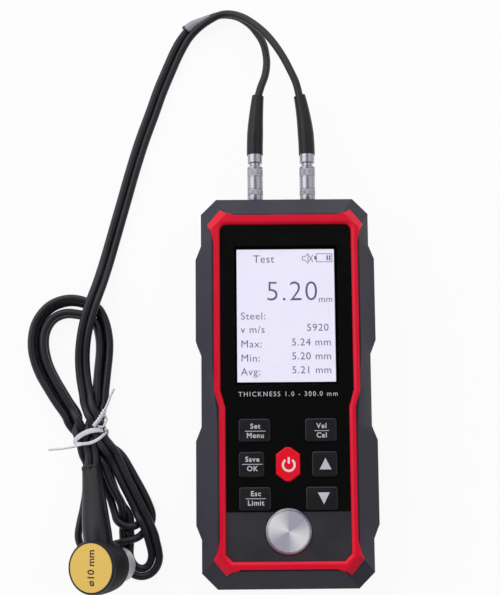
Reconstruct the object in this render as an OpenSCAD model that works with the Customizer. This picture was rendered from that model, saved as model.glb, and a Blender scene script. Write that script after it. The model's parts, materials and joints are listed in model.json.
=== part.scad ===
// Hand-held ultrasonic thickness gauge with a two-lead contact probe.
// The gauge lies on its back: +Z leaves the front face, +Y runs to the sockets.
// The origin is the middle of the back face. All lengths are millimetres.

/* [Housing] */
// Width of the housing at its waist
body_w = 67.6; // [66:0.2:74]
// Length of the housing from end to end
body_h = 155; // [152:1:170]
// Thickness from the back to the top of the red frame
body_t = 33; // [32.5:0.5:38]
// Height of the line where the shells meet, which is also the sockets' axis
parting_z = 16.5; // [15.5:0.5:18]
// Cut across each corner of the outline
corner_cut = 6.2; // [4.5:0.1:8]
// How far a side grip stands out from the waist
grip_out = 2.2; // [1:0.1:3.5]
// Distance from the middle of the gauge to the near end of a grip
grip_start = 14.3; // [8:0.1:20]
// Distance from the middle of the gauge to the far end of a grip
grip_end = 58.4; // [50:0.1:62]
// Length of the ramp at each end of a grip
grip_ramp = 5.6; // [3:0.1:9]
// Wall of both shells
wall = 2.2; // [1.8:0.1:2.6]
// Floor of the back shell, which is also the thickness of the battery door
floor_t = 2; // [1.6:0.1:2.6]
// Bevel round the back
back_bevel = 1.8; // [0.8:0.1:2]
// Rise of the sloped front edge
slope_rise = 7.4; // [5:0.1:8]
// Width of the sloped front edge along the sides
slope_side = 4.4; // [3.6:0.1:5]
// Width of the sloped front edge at the ends
slope_end = 7.3; // [6.5:0.1:9]

/* [Red frame] */
// Height of the frame above the housing's rim
frame_proud = 1.6; // [1.2:0.1:2.2]
// Width of the frame along the sides
frame_side = 2.5; // [2:0.1:3]
// Width of the frame at the top end
frame_top = 3.8; // [3:0.1:4.4]
// Width of the frame at the bottom end
frame_bottom = 3; // [2.4:0.1:3.6]
// Step inwards of the frame beside the keys
frame_jog = 1.9; // [1:0.1:2.4]
// Reach of the corner claws beyond the frame
claw_out = 2.6; // [1.6:0.1:3.2]
// Length of a claw along the frame
claw_run = 11; // [8:0.5:13]
// Depth of a claw below the top of the frame
claw_depth = 6; // [5:0.1:7]

/* [Front panel] */
// Thickness of the front panel
panel_t = 1.2; // [0.8:0.1:1.6]
// Depth of the panel below the top of the frame
panel_drop = 1; // [0.6:0.1:1.4]
// Thickness of the housing's deck under the panel
deck_t = 2.2; // [1.8:0.1:2.6]
// Width of the visible screen
screen_w = 38.9; // [34:0.1:41]
// Gap between the frame and the top of the screen
screen_gap = 9.8; // [9:0.1:13]
// Height kept below the screen for the keys and the test block
keys_room = 69.2; // [66:0.1:74]
// Border of the clear window that rests on the deck
window_border = 1; // [0.6:0.1:1.6]

/* [Keys] */
// Width of a key in the top and bottom rows
key_w = 12.5; // [10:0.1:13]
// Width of a key beside the power key
key_w_mid = 10; // [8:0.1:11]
// Height of a key in the top and bottom rows
key_h = 9.2; // [8:0.1:10]
// Height of a key beside the power key
key_h_mid = 10; // [8:0.1:10.6]
// Distance between the rows of keys
row_pitch = 13.2; // [12.4:0.1:14]
// Distance from the middle to the outer edge of the keys
key_edge = 19.2; // [18.4:0.1:20]
// Width of the power key
power_w = 9.4; // [8:0.1:11]
// Height of the power key from point to point
power_h = 13.3; // [11:0.1:14]
// Height of the keys above the panel
key_proud = 0.9; // [0.7:0.05:1.2]
// Travel of a key
key_travel = 0.7; // [0.4:0.05:0.9]

/* [Test block] */
// Diameter of the steel test block
block_d = 17.8; // [15:0.1:18.6]
// Calibrated thickness of the test block
block_t = 4; // [3.6:0.1:4.3]
// Distance from the frame to the centre of the test block
block_gap = 11.3; // [10.8:0.1:13]

/* [Sockets and plugs] */
// Distance between the two sockets
socket_pitch = 21.5; // [18:0.5:26]
// Shift of the pair of sockets from the middle
socket_shift = -0.8; // [-2:0.1:2]
// Diameter of a socket's barrel
socket_d = 7; // [6.4:0.1:7.6]
// Outer diameter of a plug's latch sleeve
plug_d = 6.4; // [6:0.1:7]
// Length of a plug's latch sleeve
sleeve_len = 15.2; // [12:0.1:16]
// Travel of the latch sleeve when the plug is released
sleeve_travel = 1.2; // [0.6:0.1:1.3]
// Length of the collet nut at the back of a plug
nut_len = 3.4; // [2.4:0.1:4.5]
// Length of a plug's bend relief
boot_len = 25.2; // [20:0.1:28]
// Diameter of each coaxial lead
cable_d = 3; // [2.6:0.1:3.1]

/* [Batteries] */
// Diameter of a battery
cell_d = 10.5; // [10:0.1:10.8]
// Length of a battery with its button
cell_len = 44.5; // [43:0.1:45]
// Centre of the battery bay along the gauge
bay_y = -14; // [-18:0.5:-8]

/* [Probe] */
// Diameter of the knurled barrel at its label
barrel_d = 21; // [19:0.1:23]
// Height of the barrel
barrel_len = 14.5; // [13:0.1:17]
// Diameter of the contact tip
tip_d = 14; // [12:0.1:15]
// Length of the tip below the barrel
tip_len = 8.5; // [6:0.1:10]
// Diameter of the gold label disc
label_d = 19; // [16:0.1:19.4]
// Lean of the resting probe
probe_lean = 25; // [20:1:28]

/* [Hidden] */
$fn = 64;

// Small clearances: a free fit, a sliding fit, a seat and a cut's overshoot
fit = 0.15;
slide_fit = 0.08;
seat = 0.1;
over = 1;

// Levels of the stack, from the top of the frame down
rim_z = body_t - frame_proud;
side_z = rim_z - slope_rise;
panel_top = body_t - panel_drop;
deck_top = panel_top - panel_t;
deck_z = deck_top - deck_t;
key_space = 4;
board_t = 1.6;
board_top = deck_z - key_space;
board_z = board_top - board_t;

// Half widths and half heights of the outline, the rim and the frame
half_w = body_w / 2;
half_h = body_h / 2;
rim_x = half_w - slope_side;
rim_y = half_h - slope_end;
rim_shelf = 0.8;
ring_x = rim_x - rim_shelf;
ring_x_low = ring_x - frame_jog;
ring_y = rim_y - rim_shelf;
inner_x = ring_x - frame_side;
inner_x_low = ring_x_low - frame_side;
inner_top = ring_y - frame_top;
inner_low = ring_y - frame_bottom;
jog_top = -0.4;
jog_bottom = -7.1;
frame_corner = 2.7;

// The cavity behind the deck, with a shoulder left under the frame
shoulder_side = 1.7;
shoulder_end = 4.2;
cavity_x = ring_x_low - shoulder_side;
cavity_y = ring_y - shoulder_end;
shoulder_z = board_z - 1;

// Places on the front panel
screen_h = inner_top + inner_low - screen_gap - keys_room;
screen_y = inner_top - screen_gap - screen_h / 2;
block_y = -inner_low + block_gap;
low_row_gap = 12.6;
row_low = block_y + low_row_gap;
row_mid = row_low + row_pitch;
row_top = row_mid + row_pitch;

// Keys: the rim that holds a key in, the edge bevel and the levels
key_rim = 0.8;
key_rim_t = 1;
key_corner = 1.1;
key_bevel = 0.35;
key_top = panel_top + key_proud;
key_floor = deck_z - seat - key_rim_t;
mat_t = 1;
dome_d = 6;
dome_top = key_floor - key_travel - 2 * seat;

// Liquid crystal module round the screen
lcd_clear = 2;
lcd_above = 1.8;
lcd_below = 5;

// Screw bosses and their screws
boss_d = 7;
boss_inset = 4.4;
boss_lift = 0.4;
boss_x = cavity_x - boss_inset;
boss_y = cavity_y - boss_inset + boss_lift;
screw_d = 2.5;
screw_head_d = 4.8;
screw_head_t = 1.8;
screw_sink = 3;

// Battery bay
cell_gap = 0.6;
cell_pitch = cell_d + cell_gap;
spring_len = 4.4;
plate_t = 0.5;
plate_w = 8;
spring_r = 3.4;
spring_taper = 1.2;
spring_wire = 0.6;
bay_x = 1.5 * cell_pitch + 0.3;
bay_len = cell_len + spring_len + 3 * plate_t;
bay_wall = 1.6;
bay_top = floor_t + cell_d + 2 * seat;
door_lip = 1;
door_tab = 9;
door_tab_h = 7;
cell_z = floor_t + seat + cell_d / 2;
button_len = 1.2;
button_d = 3.8;

// Plug stations along its axis, measured from the housing's end face
nose_len = 6;
nose_d = 4;
neck_d = 4.4;
neck_len = 1.6;
sleeve_start = 0.1;
nut_start = sleeve_start + sleeve_len + neck_len;
boot_start = nut_start + nut_len;
flange_d = 9.5;
flange_t = 1.6;
socket_len = 8;
boot_bend = [1.5, -2.7];

// Probe: the taper and edge of the barrel, and what it holds
barrel_taper = 1.2;
barrel_edge = 0.6;
label_t = 0.8;
tip_seat = 4.5;
tip_wall = 1;
barrier_t = 0.8;
crystal_t = 1;
probe_x = -67.5;
probe_y = -68.7;
probe_z = tip_d / 2 * sin(probe_lean);
probe_len = tip_len + barrel_len;

// Routes of the leads from each bend relief to the hank
route_left = [[-10.1, 122.5, 16.5], [-8.6, 127.8, 15.6], [-7.2, 131.7, 14.2], [-6.4, 135.8, 12.5],
    [-6.1, 139.9, 10.6], [-6.4, 144, 8.8], [-7.1, 148.1, 7], [-8.5, 152, 5.2], [-10.3, 155.2, 3.8],
    [-12.4, 158.3, 2.6], [-15.3, 161, 1.8], [-18.7, 162.9, 1.6], [-22.8, 163.7, 1.6],
    [-26.5, 163.5, 1.6], [-30, 162.3, 1.7], [-33.5, 160.6, 1.8], [-37, 158.6, 1.7],
    [-40.1, 155.9, 1.6], [-43, 152, 1.6], [-45.9, 146.7, 1.6], [-48.5, 141, 1.6],
    [-50.9, 135.2, 1.6], [-53.2, 129.4, 1.6], [-56.4, 120.8, 1.6], [-60.7, 108.5, 1.6],
    [-64.7, 95.3, 1.6], [-68.3, 82.2, 1.6], [-71.9, 69.2, 1.6], [-75.4, 56.1, 2.6], [-78, 46.2, 6],
    [-80.2, 39.4, 7.8], [-82.7, 31, 7.9], [-84.3, 22.9, 6.9], [-84.9, 14.9, 5.4],
    [-84.3, 6.8, 4.9], [-82.8, -1.2, 5.4], [-81, -7.9, 6.1], [-79.5, -13.4, 6.1]];
route_right = [[7.3, 122.5, 16.5], [5.9, 128.7, 16.3], [3.7, 134, 15.9], [1, 139.8, 15.2], [-2.2, 145.4, 14.2],
    [-5.8, 150.6, 12.8], [-9.7, 155, 11], [-14.2, 159, 9], [-18.7, 161.7, 7], [-22.8, 162.8, 5.6],
    [-26.2, 162.4, 5], [-29.7, 160.6, 4.8], [-33, 157.7, 4.4], [-36.4, 154.3, 3],
    [-39.7, 150.3, 1.9], [-43.2, 145.3, 1.6], [-45.7, 139.8, 1.6], [-48.1, 134.1, 1.6],
    [-50.4, 128.3, 1.6], [-53.5, 119.8, 1.6], [-57.8, 107.6, 1.6], [-61.8, 94.5, 1.6],
    [-65.4, 81.4, 1.6], [-69, 68.4, 1.6], [-72.5, 55.3, 2.6], [-75.1, 45.4, 6], [-77.3, 38.5, 7.8],
    [-79.7, 30.3, 7.9], [-81.3, 22.5, 6.9], [-81.9, 14.9, 5.4], [-81.3, 7.2, 4.9],
    [-79.8, -0.5, 5.4], [-78.1, -7.1, 6.1], [-76.6, -12.6, 6.1]];

// Loops of the tied hank, each a run of the paired leads
loop_outer = [[-85.6, -13], [-93, -3.4], [-97.5, 3.6], [-100.9, 9.6], [-103.4, 16.9], [-103.9, 23.8],
    [-102.4, 30.5], [-98.6, 35.8], [-93.8, 38.7], [-88.5, 39.7], [-83.2, 38.8], [-78.1, 36.4],
    [-75.3, 32], [-73.5, 25.7], [-73, 18.8], [-73.9, 8.8], [-75, -1.2], [-76.5, -11.2]];
loop_inner = [[-83.5, -12.2], [-90, -1.2], [-95, 7.3], [-98, 13.8], [-99.5, 20.8], [-99, 26.8], [-96, 31.8],
    [-91, 34.1], [-86, 33.8], [-81.4, 32.7], [-78.5, 30.5], [-77, 25.8], [-76.4, 18.8],
    [-77.1, 9.3], [-77.6, -1.7], [-79, -11.2]];
loop_front = [[-74, -20.2], [-70.5, -24.7], [-65.8, -34.7], [-60.5, -45.2], [-56.8, -53.2], [-54, -61],
    [-52.7, -66.6], [-53.2, -70.8], [-55.8, -73.6], [-59, -74.4], [-62.2, -73], [-64.6, -69.8],
    [-65.3, -65], [-65.1, -60.2], [-65, -55.2], [-66, -50.7], [-68.5, -44.7], [-72, -38.2],
    [-75, -30.2], [-77, -21.2]];
loop_back = [[-72.5, -20.7], [-68.8, -24.7], [-62.4, -34.7], [-57.6, -43.2], [-55.4, -49], [-55.3, -52],
    [-56.4, -54.8], [-58.8, -56.6], [-62, -57.3], [-65.2, -56.8], [-68, -54.9], [-70.2, -51],
    [-72.3, -44.7], [-74.5, -37.7], [-77, -29.2], [-79.5, -21.2]];
loop_side = [[-61.2, -56.6], [-65.5, -58.4], [-70, -59.4], [-74.3, -62.2], [-77.8, -64.3], [-81, -64],
    [-83.2, -61.3], [-83.9, -57.2], [-83.2, -52.2], [-82, -46.7], [-81, -40.2], [-80.6, -32.2],
    [-80.5, -24]];
probe_tail = [[-78.6, -22.2], [-79, -24.2], [-79, -30.2]];
band_w = 3.2;
pair_w = 6.2;
lap_w = 4.4;
tail_z = 5.1;

// Twist tie round the hank
tie_at = [-79.7, -17];
tie_turn = 18.5;
tie_wire = 1.1;
core_w = 12.4;
core_len = 12;
core_z = tie_wire + 0.3;
core_t = 5.8;
tie_ends = [[[-75.1, -14.2, 8.3], [-73.6, -10.4, 8.6], [-71.8, -5.7, 7], [-70.4, -0.7, 5.8], [-69.4, 2.3, 5.4]],
    [[-85, -20.2, 8], [-88, -21.2, 7.9], [-92, -22, 6.4], [-96.8, -22, 5.4]]];

// Path and section of the bend relief on the probe: middle, half width, half height
probe_boot_path = [[-74.6, -61.2, 17.6], [-75.4, -56.2, 17.2], [-76.2, -51.2, 15.9], [-77, -45.2, 13.4],
    [-77.8, -39.2, 10.6], [-78.5, -33.7, 8.2], [-79, -29.2, 6.6]];
probe_boot_size = [[5.7, 5.6], [5.8, 5.6], [5.6, 5.2], [5.1, 4.5], [4.6, 3.8], [4.1, 3.2], [3.9, 2.9]];

// Geometry helpers

function unit(v) = v / norm(v);

// Mirrors the right half of an outline, listed from bottom to top, to close it
function closed(right) = concat(right, [for (i = [len(right) - 1 : -1 : 0]) [-right[i][0], right[i][1]]]);

// Outline of the housing with its cut corners and side grips
function outline(hw, hw_low, hh, cut, out) = closed([
    [hw_low - cut, -hh], [hw_low, -hh + cut], [hw_low, -grip_end],
    [hw_low + out, -grip_end + grip_ramp], [hw_low + out, -grip_start - grip_ramp], [hw_low, -grip_start],
    [hw, grip_start], [hw + out, grip_start + grip_ramp],
    [hw + out, grip_end - grip_ramp], [hw, grip_end], [hw, hh - cut], [hw - cut, hh]]);

// Opening of the red frame, with rounded top corners and a step beside the keys
function opening(grow) = closed(concat(
    [[inner_x_low + grow - frame_corner, -inner_low - grow],
     [inner_x_low + grow, -inner_low - grow + frame_corner],
     [inner_x_low + grow, jog_bottom], [inner_x + grow, jog_top]],
    [for (a = [0 : 15 : 90]) [inner_x + grow - frame_corner * (1 - cos(a)),
                              inner_top + grow - frame_corner * (1 - sin(a))]]));

// Rounded rectangle as points
function rounded_points(w, h, r) = [for (c = [[1, 1, 0], [-1, 1, 90], [-1, -1, 180], [1, -1, 270]])
    for (a = [0 : 30 : 90]) [c[0] * (w / 2 - r) + r * cos(a + c[2]), c[1] * (h / 2 - r) + r * sin(a + c[2])]];

// Upright hexagon with blunted points
function hex_points(w, h, trim) = let (x = w / 2 - trim, y = h / 2 - trim, s = w / 3.4, b = 0.9)
    [[x, -y + s], [x, y - s], [b, y], [-b, y], [-x, y - s], [-x, -y + s], [-b, -y], [b, -y]];

// Part of a path, from one point to another
function slice(path, i, j) = [for (k = [i : j]) path[k]];

// Lifts a flat outline to a height
function at_z(points, z) = [for (p = points) [p[0], p[1], z]];

// Ring of points square to a path, flattened where its two radii differ
function path_ring(path, i, size, sides) = let (
    d = unit(path[min(i + 1, len(path) - 1)] - path[max(i - 1, 0)]),
    u = unit(cross(d, [0, 0, 1])), v = cross(d, u))
    [for (k = [0 : sides - 1]) path[i] + size[0] * cos(360 * k / sides) * u + size[1] * sin(360 * k / sides) * v];

// Edge points of a flat band along a path
function band_side(path, i, w) = let (d = unit(path[min(i + 1, len(path) - 1)] - path[max(i - 1, 0)]))
    path[i] + w / 2 * [d[1], -d[0]];

// Closed solid through rings of equal length
module skin(rings) {
    n = len(rings[0]);
    m = len(rings);
    polyhedron([for (r = rings) each r], concat(
        [[for (i = [0 : n - 1]) i]],
        [for (j = [0 : m - 2]) for (i = [0 : n - 1])
            [j * n + i, (j + 1) * n + i, (j + 1) * n + (i + 1) % n, j * n + (i + 1) % n]],
        [[for (i = [n - 1 : -1 : 0]) (m - 1) * n + i]]));
}

module tube(path, r, sides = 8) {
    skin([for (i = [0 : len(path) - 1]) path_ring(path, i, [r, r], sides)]);
}

// Flat band with round ends along a path
module band(path, w) {
    last = len(path) - 1;
    polygon(concat([for (i = [0 : last]) band_side(path, i, w)],
        [for (i = [last : -1 : 0]) band_side(path, i, -w)]));
    translate(path[0]) circle(d = w);
    translate(path[last]) circle(d = w);
}

module prism(points, z0, z1) {
    translate([0, 0, z0]) linear_extrude(z1 - z0) polygon(points);
}

module rounded(w, h, r) {
    square([w - 2 * r, h], center = true);
    square([w, h - 2 * r], center = true);
    for (x = [-1, 1], y = [-1, 1]) translate([x * (w / 2 - r), y * (h / 2 - r)]) circle(r = r);
}

// Box between two corners
module span(low, high) {
    translate(low) cube(high - low);
}

// Pairs and fours
module both_sides() {
    children();
    mirror([1, 0, 0]) children();
}

module at_bosses() {
    for (x = [-1, 1], y = [-1, 1]) translate([x * boss_x, y * boss_y, 0]) children();
}

// Plug and socket axis, running out of the end face
module on_axis(side) {
    translate([socket_shift + side * socket_pitch / 2, half_h, parting_z]) rotate([-90, 0, 0]) children();
}

// The probe's own frame: the contact face at zero, the label above it
module at_probe() {
    translate([probe_x, probe_y, probe_z]) rotate([0, -probe_lean, 0]) children();
}

// Frame of the tie: X across the hank, Y along it
module at_tie() {
    translate([tie_at[0], tie_at[1], 0]) rotate([0, 0, tie_turn]) children();
}

// Housing

// Everything within the outline's reach between two heights
module slab(z0, z1) {
    reach = [half_w + grip_out + over, half_h + over];
    span([-reach[0], -reach[1], z0], [reach[0], reach[1], z1]);
}

// Front form: straight sides and a sloped edge, raised by lift for the proud frame
module front_form(lift) difference() {
    skin([at_z(outline(half_w, half_w, half_h, corner_cut, grip_out), parting_z + lift - over),
        at_z(outline(half_w, half_w, half_h, corner_cut, grip_out), side_z + lift),
        at_z(outline(rim_x, rim_x - frame_jog, rim_y, corner_cut, 0), rim_z + lift)]);
    slab(parting_z + lift - 2 * over, parting_z + lift);
}

module back_form() difference() {
    inset = half_w - back_bevel;
    skin([at_z(outline(inset, inset, half_h - back_bevel, corner_cut, grip_out), 0),
        at_z(outline(half_w, half_w, half_h, corner_cut, grip_out), 2 * back_bevel),
        at_z(outline(half_w, half_w, half_h, corner_cut, grip_out), parting_z + over)]);
    slab(parting_z, parting_z + 2 * over);
}

// Room inside both shells, without the grips
module room(z0, z1) {
    prism(outline(half_w - wall, half_w - wall, half_h - wall, corner_cut, 0), z0, z1);
}

// Bores through the end wall, room for the flanges, and the ribs that trap them
module socket_bores() {
    for (side = [-1, 1]) on_axis(side) {
        translate([0, 0, -socket_len - over]) cylinder(d = socket_d + 2 * seat, h = socket_len + 2 * over);
        translate([0, 0, -wall - flange_t - 1.5 * seat]) cylinder(d = flange_d + 2 * seat, h = flange_t + seat);
    }
}

module socket_ribs(z0, z1) {
    rib_t = 1.6;
    rib_w = 12;
    back = half_h - wall - flange_t - 2 * seat;
    for (side = [-1, 1]) translate([socket_shift + side * socket_pitch / 2, 0, 0])
        span([-rib_w / 2, back - rib_t, z0], [rib_w / 2, back, z1]);
}

module door_outline(grow) {
    translate([0, bay_y]) square([2 * (bay_x + door_lip + grow), bay_len + 2 * (door_tab + grow)], center = true);
}

module at_door_screws() {
    for (y = [-1, 1]) translate([0, bay_y + y * (bay_len / 2 + door_tab / 2), 0]) children();
}

module rear_housing() color("dimgray") difference() {
    union() {
        difference() {
            back_form();
            room(floor_t, parting_z + over);
        }
        at_bosses() cylinder(d = boss_d, h = board_z);
        socket_ribs(floor_t - over, parting_z);
        translate([0, bay_y, floor_t / 2])
            linear_extrude(bay_top + bay_wall - floor_t / 2)
                square([2 * (bay_x + door_lip + bay_wall), bay_len + 2 * bay_wall], center = true);
        for (y = [-1, 1]) translate([0, bay_y + y * (bay_len + door_tab + bay_wall) / 2, floor_t / 2])
            linear_extrude(door_tab_h)
                square([2 * (bay_x + door_lip + bay_wall), door_tab + bay_wall], center = true);
    }
    translate([0, bay_y, floor_t - over]) linear_extrude(bay_top - floor_t + over)
        square([2 * bay_x, bay_len], center = true);
    translate([0, 0, -over]) linear_extrude(floor_t + over) door_outline(fit);
    at_door_screws() cylinder(d = screw_d + seat, h = floor_t + door_tab_h - 2);
    at_bosses() {
        translate([0, 0, -over]) cylinder(d = screw_head_d + 4 * seat, h = screw_sink + over);
        cylinder(d = screw_d + 4 * seat, h = board_z + over);
    }
    socket_bores();
}

module front_housing() color("dimgray") difference() {
    union() {
        difference() {
            front_form(0);
            room(parting_z - over, shoulder_z);
            span([-cavity_x, -cavity_y, parting_z], [cavity_x, cavity_y, deck_z]);
        }
        at_bosses() translate([0, 0, board_top]) cylinder(d = boss_d - 0.6, h = deck_z - board_top + seat);
        socket_ribs(parting_z, shoulder_z + over);
    }
    prism(frame_ring(fit), deck_top, body_t + over);
    claws(fit, body_t + over);
    translate([0, screen_y, deck_z - over]) linear_extrude(deck_t + 2 * over)
        square([screen_w, screen_h], center = true);
    translate([0, 0, deck_z - over]) linear_extrude(deck_t + 2 * over) key_shapes(fit);
    translate([0, block_y, block_top() - block_t]) cylinder(d = block_d + 2 * fit, h = block_t + over);
    at_bosses() translate([0, 0, board_top - over]) cylinder(d = screw_d + seat, h = key_space);
    socket_bores();
}

// Red frame with claw corners

// Its corners are cut behind the faces of the claws
function frame_ring(grow) = let (cut = claw_out / 2) closed([[ring_x_low + grow - cut, -ring_y - grow],
    [ring_x_low + grow, -ring_y - grow + cut], [ring_x_low + grow, jog_bottom], [ring_x + grow, jog_top],
    [ring_x + grow, ring_y + grow - cut], [ring_x + grow - cut, ring_y + grow]]);

// One corner claw: it flares out of the frame, and its face runs along the cut corner
function claw(x, y, grow) = [[x - claw_run + claw_out, y - over], [x - claw_run + claw_out - grow, y],
    [x - 1.75 * claw_out, y + 0.42 * claw_out + grow], [x - claw_out - grow / 2, y + claw_out + grow],
    [x + claw_out + grow, y - 1.45 * claw_out - grow / 2], [x + 0.42 * claw_out + grow, y - 2.3 * claw_out],
    [x, y - claw_run - grow], [x - over, y - claw_run]];

module claws(grow, top) {
    both_sides() {
        prism(claw(ring_x, ring_y, grow), body_t - claw_depth, top);
        mirror([0, 1, 0]) prism(claw(ring_x_low, ring_y, grow), body_t - claw_depth, top);
    }
}

module red_bezel() color("crimson") difference() {
    intersection() {
        union() {
            prism(frame_ring(0), deck_top, body_t);
            difference() {
                claws(0, body_t);
                prism(frame_ring(0), body_t - claw_depth - over, deck_top + seat);
            }
        }
        front_form(frame_proud);
    }
    prism(opening(0), deck_top - over, panel_top);
    skin([at_z(opening(0), panel_top - seat), at_z(opening(0), panel_top + seat),
        at_z(opening(0.5), body_t + seat)]);
}

// Front panel, screen and keys

module front_panel() color([0.07, 0.07, 0.08]) difference() {
    prism(opening(-fit), deck_top, panel_top);
    translate([0, screen_y, deck_top - over]) linear_extrude(panel_t + 2 * over)
        square([screen_w + 2 * (window_border + seat), screen_h + 2 * (window_border + seat)], center = true);
    translate([0, 0, deck_top - over]) linear_extrude(panel_t + 2 * over) key_shapes(fit);
    translate([0, block_y, deck_top - over]) cylinder(d = block_d + 4 * fit, h = panel_t + 2 * over);
}

module display_window() color([0.9, 0.9, 1, 0.5]) translate([0, screen_y, deck_top]) linear_extrude(panel_t)
    square([screen_w + 2 * window_border, screen_h + 2 * window_border], center = true);

module lcd_module() color("lavender") {
    foot = 1;
    span([-cavity_x + lcd_clear, screen_y - screen_h / 2 - lcd_below, board_top],
        [cavity_x - lcd_clear, screen_y + screen_h / 2 + lcd_above, deck_z - seat]);
    translate([0, screen_y, deck_z - foot]) linear_extrude(deck_t + foot - seat)
        square([screen_w - 2 * fit, screen_h - 2 * fit], center = true);
}

// Places of the six soft keys and the power key in plan: x, y, width, row height
function key_place(side, row) = let (mid = row == row_mid, w = mid ? key_w_mid : key_w)
    [side * (key_edge - w / 2), row, w, mid ? key_h_mid : key_h];

module key_shapes(grow) {
    for (side = [-1, 1], row = [row_low, row_mid, row_top]) {
        k = key_place(side, row);
        translate([k[0], k[1]]) rounded(k[2] + 2 * grow, k[3] + 2 * grow, key_corner + grow);
    }
    translate([0, row_mid]) polygon(hex_points(power_w, power_h, -grow));
}

// A key: a rim under the deck and a cap with a bevelled edge
module soft_key(side, row) {
    k = key_place(side, row);
    translate([k[0], k[1], key_floor]) linear_extrude(key_rim_t)
        rounded(k[2] + 2 * key_rim, k[3] + 2 * key_rim, key_corner + key_rim);
    translate([k[0], k[1], 0]) skin([at_z(rounded_points(k[2], k[3], key_corner), key_floor + key_rim_t / 2),
        at_z(rounded_points(k[2], k[3], key_corner), key_top - key_bevel),
        at_z(rounded_points(k[2] - 2 * key_bevel, k[3] - 2 * key_bevel, key_corner - key_bevel), key_top)]);
}

module key_menu() color([0.3, 0.3, 0.32]) soft_key(-1, row_top);

module key_cal() color([0.3, 0.3, 0.32]) soft_key(1, row_top);

module key_save() color([0.3, 0.3, 0.32]) soft_key(-1, row_mid);

module key_up() color([0.3, 0.3, 0.32]) soft_key(1, row_mid);

module key_back() color([0.3, 0.3, 0.32]) soft_key(-1, row_low);

module key_down() color([0.3, 0.3, 0.32]) soft_key(1, row_low);

module key_power() color("crimson") translate([0, row_mid, 0]) {
    prism(hex_points(power_w, power_h, -key_rim), key_floor, key_floor + key_rim_t);
    skin([at_z(hex_points(power_w, power_h, 0), key_floor + key_rim_t / 2),
        at_z(hex_points(power_w, power_h, 0), key_top - key_bevel),
        at_z(hex_points(power_w, power_h, key_bevel), key_top)]);
}

// Silicone mat with a dome under each key
module keypad_mat() color("whitesmoke") {
    edge = 1.6;
    span([-key_edge - edge, row_low - key_h / 2 - edge, board_top],
        [key_edge + edge, row_top + key_h / 2 + edge, board_top + mat_t]);
    for (side = [-1, 1], row = [row_low, row_mid, row_top]) {
        k = key_place(side, row);
        translate([k[0], k[1], board_top]) cylinder(d = dome_d, h = dome_top - board_top);
    }
    translate([0, row_mid, board_top]) cylinder(d = dome_d, h = dome_top - board_top);
}

// Steel test block: a turned disc with a bright bevel and a groove round its face
function block_top() = panel_top + 1.2;

module test_block() color("silver") translate([0, block_y, block_top() - block_t]) rotate_extrude() {
    r = block_d / 2;
    polygon([[0, 0], [r, 0], [r, block_t - 0.9], [r - 0.5, block_t - 0.35], [r - 0.75, block_t - 0.35],
        [r - 0.85, block_t - 0.6], [r - 1, block_t - 0.6], [r - 1.1, block_t], [0, block_t]]);
}

// Electronics

module main_board() color("darkgreen") difference() {
    edge = 0.5;
    chip_t = 1.6;
    union() {
        span([-cavity_x + edge, -cavity_y + edge, board_z], [cavity_x - edge, cavity_y - edge, board_top]);
        for (c = [[-8, 20, 10], [8, 36, 8], [-10, 48, 7], [6, -30, 12]])
            span([c[0] - c[2] / 2, c[1] - c[2] / 2, board_z - chip_t], [c[0] + c[2] / 2, c[1] + c[2] / 2, board_z]);
    }
    at_bosses() translate([0, 0, board_z - over]) cylinder(d = screw_d + 4 * seat, h = board_t + 2 * over);
}

module buzzer() color([0.15, 0.15, 0.15]) translate([12, 14, board_z - 5]) difference() {
    cylinder(d = 12, h = 5);
    translate([0, 0, -over]) cylinder(d = 2, h = over + 1.5);
}

module battery(index) {
    flip = index == 1 ? 1 : 0;
    x = (index - 1) * cell_pitch;
    translate([x, bay_y, cell_z]) mirror([0, flip, 0])
        translate([0, bay_len / 2 - plate_t - seat, 0]) rotate([90, 0, 0]) {
            cylinder(d = button_d, h = button_len + 0.2);
            translate([0, 0, button_len]) cylinder(d = cell_d, h = cell_len - button_len);
        }
}

module battery_1() color("olivedrab") battery(0);

module battery_2() color("olivedrab") battery(1);

module battery_3() color("olivedrab") battery(2);

// Places the contacts of each battery at the end of the bay away from its button
module at_contacts(end) {
    for (index = [0 : 2]) translate([(index - 1) * cell_pitch, bay_y, cell_z])
        mirror([0, index == 1 ? 1 : 0, 0]) translate([0, end * (bay_len / 2), 0]) rotate([end * 90, 0, 0])
            children();
}

module contact_plate() {
    translate([-plate_w / 2, -plate_w / 2, 0]) cube([plate_w, plate_w, plate_t]);
}

module contact_plates() color("gold") at_contacts(1) contact_plate();

// Conical contact springs, each on its plate
module contact_springs() color("gold") at_contacts(-1) {
    turns = 3;
    steps = 9;
    rise = spring_len - plate_t - spring_wire;
    contact_plate();
    tube([for (i = [0 : turns * steps]) let (t = i / (turns * steps), r = spring_r - spring_taper * t)
        [r * cos(360 * i / steps), r * sin(360 * i / steps), plate_t + spring_wire / 4 + rise * t]], spring_wire / 2, 5);
}

module battery_door() color("dimgray") difference() {
    rib_gap = 4;
    linear_extrude(floor_t) door_outline(0);
    at_door_screws() {
        translate([0, 0, -over]) cylinder(d = screw_head_d + 4 * seat, h = over + 1);
        cylinder(d = screw_d + 4 * seat, h = floor_t + over);
    }
    for (i = [-3 : 3]) translate([-9, bay_y - 12 + i * rib_gap / 2, -over]) cube([18, 0.8, over + 0.5]);
}

module countersunk(len, head_z) {
    translate([0, 0, head_z]) {
        cylinder(d = screw_head_d, h = screw_head_t);
        cylinder(d = screw_d, h = len);
    }
}

module battery_door_screws() color("silver") at_door_screws() difference() {
    union() {
        translate([0, 0, seat]) cylinder(d = screw_head_d, h = 1 - seat);
        translate([0, 0, seat]) cylinder(d = screw_d, h = floor_t + door_tab_h - 3);
    }
    for (a = [0, 90]) rotate([0, 0, a]) translate([-1.4, -0.3, -over]) cube([2.8, 0.6, over + 0.6]);
}

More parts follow.
